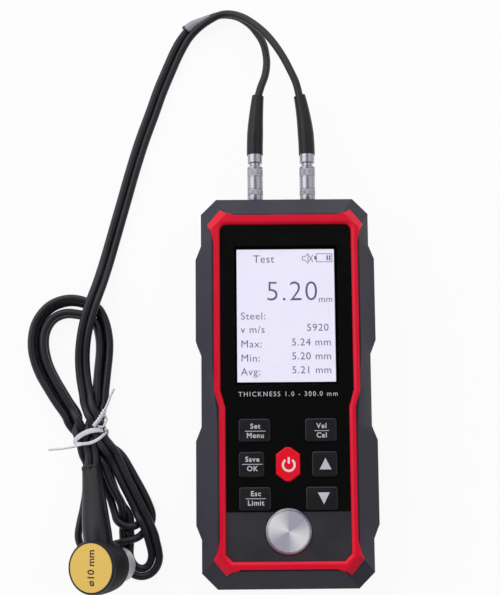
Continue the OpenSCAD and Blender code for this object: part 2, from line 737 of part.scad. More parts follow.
module housing_screws() color("silver") at_bosses() difference() {
    countersunk(deck_z - over - screw_sink + screw_head_t, screw_sink - screw_head_t);
    for (a = [0, 90]) rotate([0, 0, a]) translate([-1.5, -0.35, 0]) cube([3, 0.7, screw_sink - screw_head_t + 0.9]);
}

// Sockets and plugs

module socket(side) on_axis(side) difference() {
    union() {
        translate([0, 0, -socket_len]) cylinder(d = socket_d, h = socket_len);
        translate([0, 0, -wall - seat - flange_t]) cylinder(d = flange_d, h = flange_t);
    }
    translate([0, 0, -socket_len - over]) cylinder(d = nose_d + 2 * seat, h = socket_len + 2 * over);
}

module socket_left() color("silver") socket(-1);

module socket_right() color("silver") socket(1);

// Insulator and contact at the back of a socket
module socket_insert(side) on_axis(side) {
    translate([0, 0, -socket_len]) cylinder(d = nose_d, h = socket_len - nose_len - seat);
    translate([0, 0, -socket_len - 3]) cylinder(d = 1.2, h = 3.5);
}

module socket_insert_left() color("white") socket_insert(-1);

module socket_insert_right() color("white") socket_insert(1);

// Straight knurl as a toothed band
module knurl(d, len) {
    teeth = 26;
    depth = 0.16;
    linear_extrude(len) polygon([for (i = [0 : 2 * teeth - 1])
        (d / 2 - (i % 2) * depth) * [cos(180 * i / teeth), sin(180 * i / teeth)]]);
}

// Latch sleeve: end ring, knurl, slotted middle, knurl and shoulder
module plug_sleeve(side) on_axis(side) translate([0, 0, sleeve_start]) difference() {
    ring = 1.6;
    band_low = 2.7;
    band_high = 3.2;
    middle = sleeve_len - 2 * ring - band_low - band_high;
    union() {
        cylinder(d = plug_d, h = ring);
        translate([0, 0, ring]) knurl(plug_d - seat, band_low);
        translate([0, 0, ring + band_low]) cylinder(d = plug_d - 0.3, h = middle);
        translate([0, 0, ring + band_low + middle]) knurl(plug_d - seat, band_high);
        translate([0, 0, sleeve_len - ring]) rotate_extrude()
            polygon([[0, 0], [plug_d / 2, 0], [plug_d / 2, ring / 2], [plug_d / 2 - 0.5, ring], [0, ring]]);
    }
    for (a = [0 : 60 : 300]) rotate([0, 0, a]) translate([plug_d / 2 - 0.35, -0.5, ring + band_low + 0.4])
        cube([1, 1, middle - 0.8]);
    translate([0, 0, -over]) cylinder(d = neck_d + 2 * slide_fit, h = sleeve_len + 2 * over);
}

module plug_sleeve_left() color("silver") plug_sleeve(-1);

module plug_sleeve_right() color("silver") plug_sleeve(1);

// Plug body: the nose in the socket, the core under the sleeve and the threaded end
module plug_body(side) on_axis(side) {
    translate([0, 0, -nose_len]) cylinder(d = nose_d, h = nose_len + over);
    cylinder(d = neck_d, h = boot_start);
}

module plug_body_left() color("gainsboro") plug_body(-1);

module plug_body_right() color("gainsboro") plug_body(1);

// Collet nut with spanner flats
module plug_nut(side) on_axis(side) translate([0, 0, nut_start]) difference() {
    across = plug_d - 0.5;
    intersection() {
        cylinder(d = plug_d, h = nut_len);
        translate([-across / 2, -plug_d / 2, 0]) cube([across, plug_d, nut_len]);
    }
    translate([0, 0, -over]) cylinder(d = neck_d + 2 * seat, h = nut_len + 2 * over);
}

module plug_nut_left() color("silver") plug_nut(-1);

module plug_nut_right() color("silver") plug_nut(1);

// Tapered bend relief, bent a little towards the lead
module plug_boot(side, bend) on_axis(side) translate([0, 0, boot_start]) {
    tip_r = 2.35;
    base_r = plug_d / 2 - 0.05;
    rings = 8;
    skin([for (i = [0 : rings]) let (t = i / rings, taper = max(0, t - 0.25) / 0.75)
        at_z([for (k = [0 : 15]) let (r = base_r - (base_r - tip_r) * taper)
            [bend * t * t + r * cos(22.5 * k), r * sin(22.5 * k)]], boot_len * t)]);
}

module plug_boot_left() color([0.12, 0.12, 0.13]) plug_boot(-1, boot_bend[0]);

module plug_boot_right() color([0.12, 0.12, 0.13]) plug_boot(1, boot_bend[1]);

// Leads, hank and tie

module cable_left() color([0.1, 0.1, 0.11]) tube(route_left, cable_d / 2);

module cable_right() color([0.1, 0.1, 0.11]) tube(route_right, cable_d / 2);

// The tied hank: two loops above the tie, two below it, and the core that the tie grips
module cable_hank() color([0.1, 0.1, 0.11]) {
    linear_extrude(2 * cable_d) {
        band(loop_outer, lap_w);
        band(loop_inner, band_w);
    }
    linear_extrude(cable_d - seat) {
        band(loop_front, band_w);
        band(loop_back, band_w);
        band(loop_side, band_w);
        band(slice(loop_front, 1, 9), pair_w);
        band(slice(loop_back, 1, 7), pair_w);
    }
    linear_extrude(2 * cable_d) band(slice(loop_front, 1, 5), pair_w - 4 * seat);
    translate([0, 0, tail_z]) linear_extrude(cable_d) band(probe_tail, pair_w);
    at_tie() translate([0, 0, core_z]) linear_extrude(core_t) square([core_w, core_len], center = true);
}

// Shrunk marker sleeve on the left plug's lead, after the arch
module cable_collar() color([0.4, 0.4, 0.43]) {
    start = [-29.9, 162.35, 1.95];
    run = 8;
    turn = 26.6;
    translate(start) rotate([0, 0, 180 + turn]) rotate([0, 90, 0]) cylinder(d = cable_d + 0.8, h = run);
}

// White wire tie: two turns round the core, a twist and two free ends
module twist_tie() color("white") {
    gap = 0.2;
    turn_pitch = 2.6;
    outer = [core_w + 2 * (gap + tie_wire), core_t + 2 * (gap + tie_wire)];
    at_tie() for (y = [-1, 1])
        translate([0, y * turn_pitch / 2, core_z + core_t / 2]) rotate([90, 0, 0]) linear_extrude(tie_wire, center = true)
            difference() {
                square(outer, center = true);
                square(outer - [2 * tie_wire, 2 * tie_wire], center = true);
            }
    at_tie() span([core_w / 2 - 3, -turn_pitch, core_z + core_t + gap],
        [core_w / 2 - 0.6, turn_pitch, core_z + core_t + gap + 1.8]);
    for (path = tie_ends) tube(path, tie_wire / 2, 6);
}

// Probe

// Outer form of the knurled barrel
module barrel_form(grow) {
    r = barrel_d / 2 + grow;
    rotate_extrude() polygon([[0, tip_len], [r - barrel_taper - barrel_edge, tip_len],
        [r - barrel_taper, tip_len + barrel_edge], [r - barrel_taper / 3, tip_len + barrel_len / 3],
        [r, tip_len + 0.65 * barrel_len], [r, probe_len - barrel_edge], [r - barrel_edge / 2, probe_len],
        [0, probe_len]]);
}

module probe_barrel() color([0.12, 0.12, 0.13]) at_probe() difference() {
    barrel_form(0);
    translate([0, 0, probe_len - label_t]) cylinder(d = label_d + 2 * seat, h = label_t + over);
    translate([0, 0, tip_len - over]) cylinder(d = tip_d + 2 * seat, h = tip_seat + over);
    cylinder(d = tip_d - 2 * tip_wall, h = probe_len - 2 * label_t);
}

module probe_label() color("gold") at_probe() translate([0, 0, probe_len - label_t])
    cylinder(d = label_d, h = label_t);

// Sleeve of the contact tip
module probe_sleeve() color("silver") at_probe() difference() {
    cylinder(d = tip_d, h = tip_len + tip_seat);
    translate([0, 0, -over]) cylinder(d = tip_d - 2 * tip_wall, h = tip_len + tip_seat + 2 * over);
}

// Half-round inside the tip, one on each side of the barrier
module half_rounds(z0, h) {
    r = tip_d / 2 - tip_wall - seat / 2;
    for (a = [0, 180]) rotate([0, 0, a]) translate([0, 0, z0]) intersection() {
        cylinder(r = r, h = h);
        translate([-r, barrier_t / 2, 0]) cube([2 * r, r, h]);
    }
}

module probe_delay_blocks() color("lightgray") at_probe() half_rounds(0, tip_len + 2);

module probe_barrier() color("peru") at_probe() {
    w = tip_d - 2 * tip_wall - 4 * seat;
    translate([-w / 2, -barrier_t / 2 + seat / 2, 0]) cube([w, barrier_t - seat, tip_len + tip_seat]);
}

module probe_crystals() color("khaki") at_probe() half_rounds(tip_len + 2, crystal_t);

module probe_backing() color("darkslategray") at_probe() {
    start = tip_len + tip_seat;
    translate([0, 0, start]) cylinder(d = tip_d - 2 * tip_wall - 2 * seat, h = probe_len - 2 * label_t - start);
}

// Bend relief of the paired leads, saddled on the side of the barrel
module probe_boot() color([0.1, 0.1, 0.11]) difference() {
    skin([for (i = [0 : len(probe_boot_path) - 1]) path_ring(probe_boot_path, i, probe_boot_size[i], 16)]);
    at_probe() barrel_form(seat);
}

rear_housing();
front_housing();
red_bezel();
front_panel();
display_window();
lcd_module();
keypad_mat();
key_menu();
key_cal();
key_save();
key_power();
key_up();
key_back();
key_down();
main_board();
buzzer();
test_block();
socket_left();
socket_right();
socket_insert_left();
socket_insert_right();
battery_1();
battery_2();
battery_3();
contact_springs();
contact_plates();
battery_door();
battery_door_screws();
housing_screws();
plug_sleeve_left();
plug_sleeve_right();
plug_body_left();
plug_body_right();
plug_nut_left();
plug_nut_right();
plug_boot_left();
plug_boot_right();
cable_left();
cable_right();
cable_hank();
cable_collar();
twist_tie();
probe_boot();
probe_barrel();
probe_label();
probe_sleeve();
probe_delay_blocks();
probe_barrier();
probe_crystals();
probe_backing();
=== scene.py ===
# %% [markdown]
# # Dressing an ultrasonic thickness gauge in Blender
# The gauge lies on its back with its two-lead probe beside it. The solids come packed from the CAD
# step and stay where they are. This lesson adds what the solids lack: flexible leads, soft edges,
# printing, a knurl that catches light, and finishes that answer to light as the real ones do.

# %% Load the frame
import json
import math

import bmesh
import bpy
from mathutils import Matrix, Vector
from mathutils.geometry import interpolate_bezier
from mathutils.kdtree import KDTree

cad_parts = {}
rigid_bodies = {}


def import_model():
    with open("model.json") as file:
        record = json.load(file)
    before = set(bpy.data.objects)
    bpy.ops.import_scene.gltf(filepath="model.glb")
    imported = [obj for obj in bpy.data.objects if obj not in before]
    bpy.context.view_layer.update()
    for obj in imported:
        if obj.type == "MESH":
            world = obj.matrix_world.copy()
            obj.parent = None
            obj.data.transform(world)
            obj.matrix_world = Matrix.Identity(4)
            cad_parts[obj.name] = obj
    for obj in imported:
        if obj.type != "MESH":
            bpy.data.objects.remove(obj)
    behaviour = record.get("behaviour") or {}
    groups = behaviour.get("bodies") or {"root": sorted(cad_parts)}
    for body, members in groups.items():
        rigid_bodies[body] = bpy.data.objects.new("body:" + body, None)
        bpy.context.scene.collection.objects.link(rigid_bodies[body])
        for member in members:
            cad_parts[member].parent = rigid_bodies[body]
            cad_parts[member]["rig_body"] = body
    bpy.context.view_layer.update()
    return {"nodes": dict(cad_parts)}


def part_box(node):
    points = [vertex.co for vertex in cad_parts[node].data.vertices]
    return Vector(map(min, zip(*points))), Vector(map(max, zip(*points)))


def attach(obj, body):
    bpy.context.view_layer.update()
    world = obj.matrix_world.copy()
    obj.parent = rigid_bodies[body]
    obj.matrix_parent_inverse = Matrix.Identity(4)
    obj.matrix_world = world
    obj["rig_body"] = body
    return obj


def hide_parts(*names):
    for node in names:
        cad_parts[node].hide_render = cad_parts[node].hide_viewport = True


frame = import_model()
nodes = frame["nodes"]
scene = bpy.context.scene
MM = 0.001

# %% [markdown]
# ## Camera
# The photo looks almost straight down with a long lens. The lens and place were worked out from the
# corners of the red frame, the screen and the test disc, so the render lines up with the photo.

# %% Camera
camera_data = bpy.data.cameras.new("studio_camera")
camera_data.lens = 80.0
camera_data.sensor_width = 36.0
camera_data.sensor_fit = "AUTO"
camera_data.clip_start = 0.01
camera = bpy.data.objects.new("studio_camera", camera_data)
camera.location = Vector((-19.01, -36.07, 550.0)) * MM
camera.rotation_euler = [math.radians(a) for a in (7.958, -0.46, -0.498)]
scene.collection.objects.link(camera)
scene.camera = camera
print("camera height in mm:", camera.location.z / MM)

# %% [markdown]
# ## The two coaxial leads
# Each plug has its own slim lead, and one of them wears a marker sleeve. The two run down side by side
# and are folded into a tied hank before they enter the bend relief of the probe. A curve with a round
# bevel suits them: its control points are the route, and its length is the real length of the lead.
# The routes follow those of the solids, in mm. Both leads share each flat run of the hank, so a helper
# moves the run to one side and gives each point its height.

# %% Routes of the leads
LEAD_R = 1.58
TIE_AT = Vector((-79.7, -17.0))
TIE_TURN = math.radians(18.5)

drop_left = [(-10.1, 122.5, 16.5), (-8.6, 127.8, 15.6), (-7.2, 131.7, 14.2), (-6.4, 135.8, 12.5),
             (-6.1, 139.9, 10.6), (-6.4, 144, 8.8), (-7.1, 148.1, 7), (-8.5, 152, 5.2),
             (-10.3, 155.2, 3.8), (-12.4, 158.3, 2.6), (-15.3, 161, 1.8), (-18.7, 162.9, 1.6),
             (-22.8, 163.7, 1.6), (-26.5, 163.5, 1.6), (-30, 162.3, 1.7), (-33.5, 160.6, 1.8),
             (-37.2, 159, 1.7), (-40.3, 156.3, 1.6), (-43.2, 152.2, 1.6), (-46, 146.8, 1.6),
             (-48.5, 141, 1.6), (-50.9, 135.2, 1.6), (-53.2, 129.4, 1.6), (-56.2, 120.7, 1.6),
             (-60.7, 108.5, 1.6), (-64.7, 95.3, 1.6), (-68.3, 82.2, 1.6), (-71.9, 69.2, 1.6),
             (-75.4, 56.1, 2.6), (-78, 46.2, 6), (-80.2, 39.4, 7.8), (-82.7, 31, 7.9),
             (-84.3, 22.9, 6.9), (-84.9, 14.9, 5.4), (-84.3, 6.8, 4.9), (-82.8, -1.2, 5.4),
             (-81, -7.9, 6.1), (-79.5, -13.4, 6.1)]
drop_right = [(7.3, 122.5, 16.5), (5.9, 128.7, 16.3), (3.7, 134, 15.9), (1, 139.8, 15.2),
              (-2.2, 145.4, 14.2), (-5.8, 150.6, 12.8), (-9.7, 155, 11), (-14.2, 159, 9),
              (-18.7, 161.7, 7), (-22.8, 162.8, 5.6), (-26.2, 162.4, 5), (-29.7, 160.6, 4.8),
              (-33.4, 158.2, 4.4), (-37, 155.3, 3.2), (-40.3, 151.5, 2.1), (-43.4, 146, 1.6),
              (-45.9, 140.2, 1.6), (-48.4, 134.2, 1.6), (-50.7, 128.4, 1.6), (-53.6, 119.8, 1.6),
              (-57.8, 107.6, 1.6), (-61.8, 94.5, 1.6), (-65.4, 81.4, 1.6), (-69, 68.4, 1.6),
              (-72.5, 55.3, 2.6), (-75.1, 45.4, 6), (-77.3, 38.5, 7.8), (-79.7, 30.3, 7.9),
              (-81.3, 22.5, 6.9), (-81.9, 14.9, 5.4), (-81.3, 7.2, 4.9), (-79.8, -0.5, 5.4),
              (-78.1, -7.1, 6.1), (-76.6, -12.6, 6.1)]
loop_outer = [(-85.6, -13), (-93, -3.4), (-97.5, 3.6), (-100.9, 9.6), (-103.4, 16.9),
              (-103.9, 23.8), (-102.4, 30.5), (-98.6, 35.8), (-93.8, 38.7), (-88.5, 39.7),
              (-83.2, 38.8), (-78.1, 36.4), (-75.3, 32), (-73.5, 25.7), (-73, 18.8), (-73.9, 8.8),
              (-75, -1.2), (-76.5, -11.2)]
loop_inner = [(-83.5, -12.2), (-90, -1.2), (-95, 7.3), (-98, 13.8), (-99.5, 20.8), (-99, 26.8),
              (-96, 31.8), (-91, 34.1), (-86, 33.8), (-81.4, 32.7), (-78.5, 30.5), (-77, 25.8),
              (-76.4, 18.8), (-77.1, 9.3), (-77.6, -1.7), (-79, -11.2)]
loop_front = [(-74, -20.2), (-70.5, -24.7), (-65.8, -34.7), (-60.5, -45.2), (-56.8, -53.2),
              (-54, -61), (-52.7, -66.6), (-53.2, -70.8), (-55.8, -73.6), (-59, -74.4),
              (-62.2, -73), (-64.6, -69.8), (-65.3, -65), (-65.1, -60.2), (-65, -55.2),
              (-66, -50.7), (-68.5, -44.7), (-72, -38.2), (-75, -30.2), (-77, -21.2)]
loop_back = [(-72.5, -20.7), (-68.8, -24.7), (-62.9, -34.7), (-58.3, -43.2), (-56.1, -49),
             (-55.8, -52), (-56.4, -54.8), (-58.8, -56.6), (-62, -57.3), (-65.2, -56.8),
             (-68, -54.9), (-70.2, -51), (-72.3, -44.7), (-74.5, -37.7), (-77, -29.2)]
loop_side = [(-61.2, -56.6), (-65.5, -58.4), (-70, -59.4), (-74.3, -62.2), (-77.8, -64.3),
             (-81, -64), (-83.2, -61.3), (-83.9, -57.2), (-83.2, -52.2), (-82, -46.7), (-81, -40.2),
             (-80.6, -32.2), (-80.5, -24)]
probe_tail = [(-78.9, -24.7), (-79, -31.7)]


def beside(run, side, heights):
    """Moves a flat run to the left of its own direction, and gives its points their heights."""
    last = len(run) - 1
    moved = []
    for i, point in enumerate(run):
        ahead = Vector(run[min(i + 1, last)]) - Vector(run[max(i - 1, 0)])
        left = Vector((-ahead.y, ahead.x)).normalized()
        place = Vector(point) + side * left
        moved.append((place.x, place.y, heights[min(i, len(heights) - 1)]))
    return moved


def in_tie(across, along, height):
    """A place inside the tie, measured across the hank and up along it."""
    turn = Matrix.Rotation(TIE_TURN, 2)
    place = TIE_AT + turn @ Vector((across, along))
    return (place.x, place.y, height)


lead_left = (drop_left
             + [in_tie(1.5, 0, 5.7)]
             + beside(loop_front[:10], -1.5, [5.2, 4.6, 4.0, 3.6, 3.4, 2.8, 1.8, 1.6, 1.6, 1.6])
             + beside(loop_front[10:], -1.5, [1.6, 1.6, 1.6, 1.6, 1.6, 1.6, 1.6, 1.6, 1.7, 2.4])
             + [in_tie(-0.3, 0, 2.9)]
             + beside(loop_outer, -0.7, [2.2, 1.7] + [1.6] * 14 + [1.7, 2.2])
             + [in_tie(4.6, 0, 2.9)]
             + beside(loop_back[:8], 1.5, [2.6, 1.7, 1.6, 1.6, 1.6, 1.6, 1.8, 3.0])
             + beside(loop_side[1:], 1.0, [4.4, 3.4, 2.0, 1.6, 1.6, 1.6, 1.6, 1.6, 1.6, 1.6, 1.7, 2.6])
             + [in_tie(-4.6, 1, 5.5)]
             + beside(loop_inner, -0.25, [2.2, 1.7] + [1.6] * 12 + [1.8, 3.2])
             + [in_tie(0.6, 0, 5.7)]
             + beside(probe_tail, 1.5, [6.2, 6.9]))
lead_right = (drop_right
              + [in_tie(4.3, 0, 5.7)]
              + beside(loop_front[:6], 1.5, [5.4, 5.0, 4.6, 4.5, 4.5, 3.7])
              + beside(loop_front[6:12], 0.5, [2.3, 1.7, 1.6, 1.6, 1.6, 1.6])
              + beside(loop_front[12:15], 1.5, [1.6, 1.6, 1.8])
              + beside(loop_front[15:16], 0.6, [3.8])
              + beside(loop_front[16:], -1.3, [4.7, 4.7, 4.3, 3.4])
              + [in_tie(-3.0, 0, 2.9)]
              + beside(loop_outer, 0.7, [3.7, 4.1] + [4.25] * 14 + [4.1, 3.6])
              + [in_tie(2.0, 0, 2.9)]
              + beside(loop_back[:8], -1.5, [2.6, 1.8, 1.6, 1.6, 1.6, 1.7, 2.2, 3.4])
              + beside(loop_back[8:], -1.2, [4.5, 4.5, 4.5, 3.0, 1.8, 1.6, 1.8])
              + [in_tie(-4.6, -2, 2.9)]
              + beside(loop_inner, 0.25, [3.8, 4.3] + [4.55] * 12 + [4.3, 4.6])
              + [in_tie(-2.4, 0, 5.7)]
              + beside(probe_tail, -1.5, [6.2, 6.9]))
print("points drawn on the leads:", len(lead_left), len(lead_right))

# %% [markdown]
# ## Letting the leads settle
# Ten runs of lead share one tie, so the drawn routes cut into each other here and there. A short
# relaxation mends that: points of different runs push each other a diameter apart, a bend that is too
# tight is eased, the tie holds its runs together, and the floor holds them up. It is the same each time.

# %% Settled leads
# Along a lead: the step between points in mm, the points held at each end, and how far along its own
# run a lead doesn't push itself.
STEP = 2.0
HELD = 8
OWN_RUN = 9
# The room in the tie and in the funnel on each side of it, in mm.
TIE_HALF_LENGTH = 2.5
TIE_HALF_WIDTH = 5.1
TIE_LOW = 1.9
TIE_HIGH = 6.5
FUNNEL_LENGTH = 6.5
FUNNEL_REACH = 12
FUNNEL_SPREAD = 0.4
FUNNEL_RISE = 0.2
# How the leads give way: rubber squeezed between two runs, the gap to the floor and the farthest move,
# in mm, then the shares of a push, an eased bend and a round.
SQUEEZE = 0.04
FLOOR_GAP = 0.04
FARTHEST = 3.0
PUSH = 0.22
EASE = 0.5
PACE = 0.8
ROUNDS = 160
# Points ahead and behind, and the sag between them in mm that is still free.
BENDS = ((1, 0.22), (2, 1.1))
SAME_PLACE = 0.01


def flow(route):
    """Equal steps along a smooth curve through the points of a route."""
    knots = [Vector(p) for p in route]
    last = len(knots) - 1
    dense = []
    for i in range(last):
        out = (knots[i + 1] - knots[max(i - 1, 0)]) / 6
        into = (knots[min(i + 2, last)] - knots[i]) / 6
        dense += interpolate_bezier(knots[i], knots[i] + out, knots[i + 1] - into, knots[i + 1], 13)[:-1]
    dense.append(knots[-1])
    walked = [dense[0]]
    for place in dense[1:]:
        while (place - walked[-1]).length >= STEP:
            walked.append(walked[-1] + (place - walked[-1]).normalized() * STEP)
    walked.append(knots[-1])
    return walked


def kept_in_tie(place):
    """Holds a point inside the tie where it passes through it, and in a funnel on both sides of it."""
    turn = Matrix.Rotation(TIE_TURN, 2)
    local = turn.transposed() @ (place.xy - TIE_AT)
    beyond = max(0.0, abs(local.y) - TIE_HALF_LENGTH)
    if beyond > FUNNEL_LENGTH or abs(local.x) > FUNNEL_REACH:
        return place
    widest = TIE_HALF_WIDTH + FUNNEL_SPREAD * beyond
    local.x = min(max(local.x, -widest), widest)
    held = TIE_AT + turn @ local
    low = TIE_LOW if beyond == 0 else LEAD_R
    return Vector((held.x, held.y, min(max(place.z, low), TIE_HIGH + FUNNEL_RISE * beyond)))


def settle(leads):
    """Eases the leads apart and out of tight bends, by no more than a few mm."""
    apart = 2 * LEAD_R - SQUEEZE
    start = [[p.copy() for p in lead] for lead in leads]
    for _ in range(ROUNDS):
        owner = [(k, i) for k, lead in enumerate(leads) for i in range(len(lead))]
        tree = KDTree(len(owner))
        for n, (k, i) in enumerate(owner):
            tree.insert(leads[k][i], n)
        tree.balance()
        moves = [[Vector((0, 0, 0)) for _ in lead] for lead in leads]
        for k, i in owner:
            for place, m, gap in tree.find_range(leads[k][i], apart):
                other, j = owner[m]
                if gap > SAME_PLACE and (other != k or abs(i - j) * STEP > OWN_RUN):
                    moves[k][i] += (leads[k][i] - place) * ((apart - gap) / gap * PUSH)
        for k, lead in enumerate(leads):
            for i in range(HELD, len(lead) - HELD):
                for reach, slack in BENDS:
                    middle = (lead[i - reach] + lead[i + reach]) / 2
                    sag = (middle - lead[i]).length
                    if sag > slack:
                        moves[k][i] += (middle - lead[i]) * (EASE * (1 - slack / sag))
                shift = lead[i] + moves[k][i] - start[k][i]
                shift *= min(1.0, FARTHEST / max(shift.length, 0.001))
                place = kept_in_tie(start[k][i] + shift)
                place.z = max(place.z, LEAD_R + FLOOR_GAP)
                moves[k][i] = place
            for i in range(HELD, len(lead) - HELD):
                lead[i] = lead[i].lerp(moves[k][i], PACE)
    return leads


lead_left, lead_right = settle([flow(lead_left), flow(lead_right)])
print("points on the settled leads:", len(lead_left), len(lead_right))

# %% [markdown]
# ## The leads as curves
# The settled points become the control points of a smooth open curve. Its bevel has a radius of one
# metre, and each point's own radius scales that down to the lead's. The points are close together, so
# two segments between them are enough.

# %% Leads as curves


def round_curve(name, route, depth, facets):
    """Curve data with a round bevel that runs smoothly through a route in mm."""
    data = bpy.data.curves.new(name, "CURVE")
    data.dimensions = "3D"
    data.bevel_depth = depth
    data.bevel_resolution = facets
    data.use_fill_caps = True
    spline = data.splines.new("BEZIER")
    spline.bezier_points.add(len(route) - 1)
    for control, place in zip(spline.bezier_points, route):
        control.co = Vector(place) * MM
        control.handle_left_type = "AUTO"
        control.handle_right_type = "AUTO"
    return data


def lay_lead(name, route):
    """A round lead along a route; its points hold its radius."""
    data = round_curve(name, route, 1.0, 5)
    data.resolution_u = 2
    for control in data.splines[0].bezier_points:
        control.radius = LEAD_R * MM
    lead = bpy.data.objects.new(name, data)
    scene.collection.objects.link(lead)
    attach(lead, "gauge")
    return lead


left_lead = lay_lead("lead_from_left_plug", lead_left)
right_lead = lay_lead("lead_from_right_plug", lead_right)
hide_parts("cable_left", "cable_hank")
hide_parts("cable_right")


def lead_length(lead):
    """Length of a lead's centreline in metres."""
    return lead.data.splines[0].calc_length()


print("lead lengths in m:", round(lead_length(left_lead), 3), round(lead_length(right_lead), 3))

# %% [markdown]
# ## Effects that several finishes share
# An effect that more than one material needs is made once, as a shader node group with named sockets,
# and each material places the group with its own values. The groups read Object coordinates, because
# every piece keeps its place in its mesh. These helpers add the nodes that the groups have in common.

# %% Helpers for node groups


def group_with(name, inputs, outputs):
    """An empty shader group with named sockets, its input node and its output node."""
    group = bpy.data.node_groups.new(name, "ShaderNodeTree")
    for label, kind, value in inputs:
        socket = group.interface.new_socket(name=label, in_out="INPUT", socket_type=kind)
        socket.default_value = value
    for label, kind in outputs:
        group.interface.new_socket(name=label, in_out="OUTPUT", socket_type=kind)
    return group, group.nodes.new("NodeGroupInput"), group.nodes.new("NodeGroupOutput")


def feed(tree, value, socket):
    """Gives an input a number or a colour, or links it to another node's output."""
    if isinstance(value, (float, tuple)):
        socket.default_value = value
    else:
        tree.links.new(value, socket)


def mix_colour(tree, factor, first, second):
    """A mix of two colours; each is a socket or a colour."""
    mix = tree.nodes.new("ShaderNodeMix")
    mix.data_type = "RGBA"
    tree.links.new(factor, mix.inputs[0])
    feed(tree, first, mix.inputs[6])
    feed(tree, second, mix.inputs[7])
    return mix.outputs[2]


def spread(tree, value, low, high, source=(0.3, 0.7)):
    """Maps a value between two sockets or numbers."""
    ranged = tree.nodes.new("ShaderNodeMapRange")
    ranged.inputs["From Min"].default_value = source[0]
    ranged.inputs["From Max"].default_value = source[1]
    tree.links.new(value, ranged.inputs["Value"])
    feed(tree, low, ranged.inputs["To Min"])
    feed(tree, high, ranged.inputs["To Max"])
    return ranged.outputs["Result"]


def arithmetic(tree, operation, first, second=None):
    """One step of arithmetic on a value; a second value is a socket or a number."""
    step = tree.nodes.new("ShaderNodeMath")
    step.operation = operation
    tree.links.new(first, step.inputs[0])
    if second is not None:
        feed(tree, second, step.inputs[1])
    return step.outputs[0]


def part_of(tree, vector, axis):
    """One part of a vector."""
    split = tree.nodes.new("ShaderNodeSeparateXYZ")
    tree.links.new(vector, split.inputs["Vector"])
    return split.outputs[axis]


def own_place(tree):
    """Object coordinates."""
    return tree.nodes.new("ShaderNodeTexCoord").outputs["Object"]


def noise(tree, scale, detail):
    """A noise texture's value on Object coordinates; its scale is a socket or a number."""
    texture = tree.nodes.new("ShaderNodeTexNoise")
    texture.inputs["Detail"].default_value = detail
    feed(tree, scale, texture.inputs["Scale"])
    tree.links.new(own_place(tree), texture.inputs["Vector"])
    return texture.outputs["Fac"]


def bumped(tree, height, strength, distance):
    """A normal from a height, a strength and the height's real depth in metres."""
    bump = tree.nodes.new("ShaderNodeBump")
    bump.inputs["Distance"].default_value = distance
    tree.links.new(strength, bump.inputs["Strength"])
    tree.links.new(height, bump.inputs["Height"])
    return bump.outputs["Normal"]


print("helpers ready for Blender", bpy.app.version_string)

# %% [markdown]
# ## Grain
# Moulded plastic, rubber and paint all have a fine grain, a faint colour change and a gloss that varies.
# A fine noise makes the bumps, a slow one makes the gloss wander, and their product moves the colour.

# %% Grain
SURFACE = [("Colour", "NodeSocketColor"), ("Roughness", "NodeSocketFloat"), ("Normal", "NodeSocketVector")]


def build_grain():
    """Grain: fine bumps, slow colour change and uneven gloss."""
    group, given, made = group_with(
        "surface_grain",
        [("Colour", "NodeSocketColor", (0.1, 0.1, 0.1, 1)),
         ("Fleck", "NodeSocketColor", (0.2, 0.2, 0.2, 1)),
         ("Scale", "NodeSocketFloat", 2500.0), ("Depth", "NodeSocketFloat", 0.1),
         ("Rough low", "NodeSocketFloat", 0.4), ("Rough high", "NodeSocketFloat", 0.6)],
        SURFACE)
    fine = noise(group, given.outputs["Scale"], 4.0)
    slow = noise(group, 90.0, 3.0)
    part = spread(group, arithmetic(group, "MULTIPLY", fine, slow), 0.0, 1.0, (0.12, 0.42))
    tone = mix_colour(group, part, given.outputs["Colour"], given.outputs["Fleck"])
    gloss = spread(group, slow, given.outputs["Rough low"], given.outputs["Rough high"])
    normal = bumped(group, fine, given.outputs["Depth"], 0.12 * MM)
    group.links.new(tone, made.inputs["Colour"])
    group.links.new(gloss, made.inputs["Roughness"])
    group.links.new(normal, made.inputs["Normal"])
    return group


grain = build_grain()
print("group:", grain.name)

# %% [markdown]
# ## Worked lines
# Turning, brushing and drawing leave fine lines on metal. A noise in one dimension draws them along any
# value that a material hands in, such as a coordinate or an angle.

# %% Worked lines


def build_lines():
    """Fine lines along one coordinate: lathe turning, brushing or drawing."""
    group, given, made = group_with(
        "worked_lines",
        [("Along", "NodeSocketFloat", 0.0), ("Scale", "NodeSocketFloat", 4000.0),
         ("Dark", "NodeSocketColor", (0.4, 0.4, 0.4, 1)),
         ("Light", "NodeSocketColor", (0.7, 0.7, 0.7, 1)),
         ("Rough low", "NodeSocketFloat", 0.25), ("Rough high", "NodeSocketFloat", 0.4),
         ("Depth", "NodeSocketFloat", 0.1)],
        SURFACE)
    texture = group.nodes.new("ShaderNodeTexNoise")
    texture.noise_dimensions = "1D"
    texture.inputs["Detail"].default_value = 5.0
    group.links.new(given.outputs["Along"], texture.inputs["W"])
    group.links.new(given.outputs["Scale"], texture.inputs["Scale"])
    line = texture.outputs["Fac"]
    part = spread(group, line, 0.0, 1.0)
    tone = mix_colour(group, part, given.outputs["Dark"], given.outputs["Light"])
    gloss = spread(group, line, given.outputs["Rough high"], given.outputs["Rough low"])
    normal = bumped(group, line, given.outputs["Depth"], 0.03 * MM)
    group.links.new(tone, made.inputs["Colour"])
    group.links.new(gloss, made.inputs["Roughness"])
    group.links.new(normal, made.inputs["Normal"])
    return group


lines = build_lines()
print("group:", lines.name)

# %% [markdown]
# ## Smudges
# A gloss panel and a clear window that have been handled are duller in soft patches. Only the roughness
# changes, so the group has a single output.

# %% Smudges


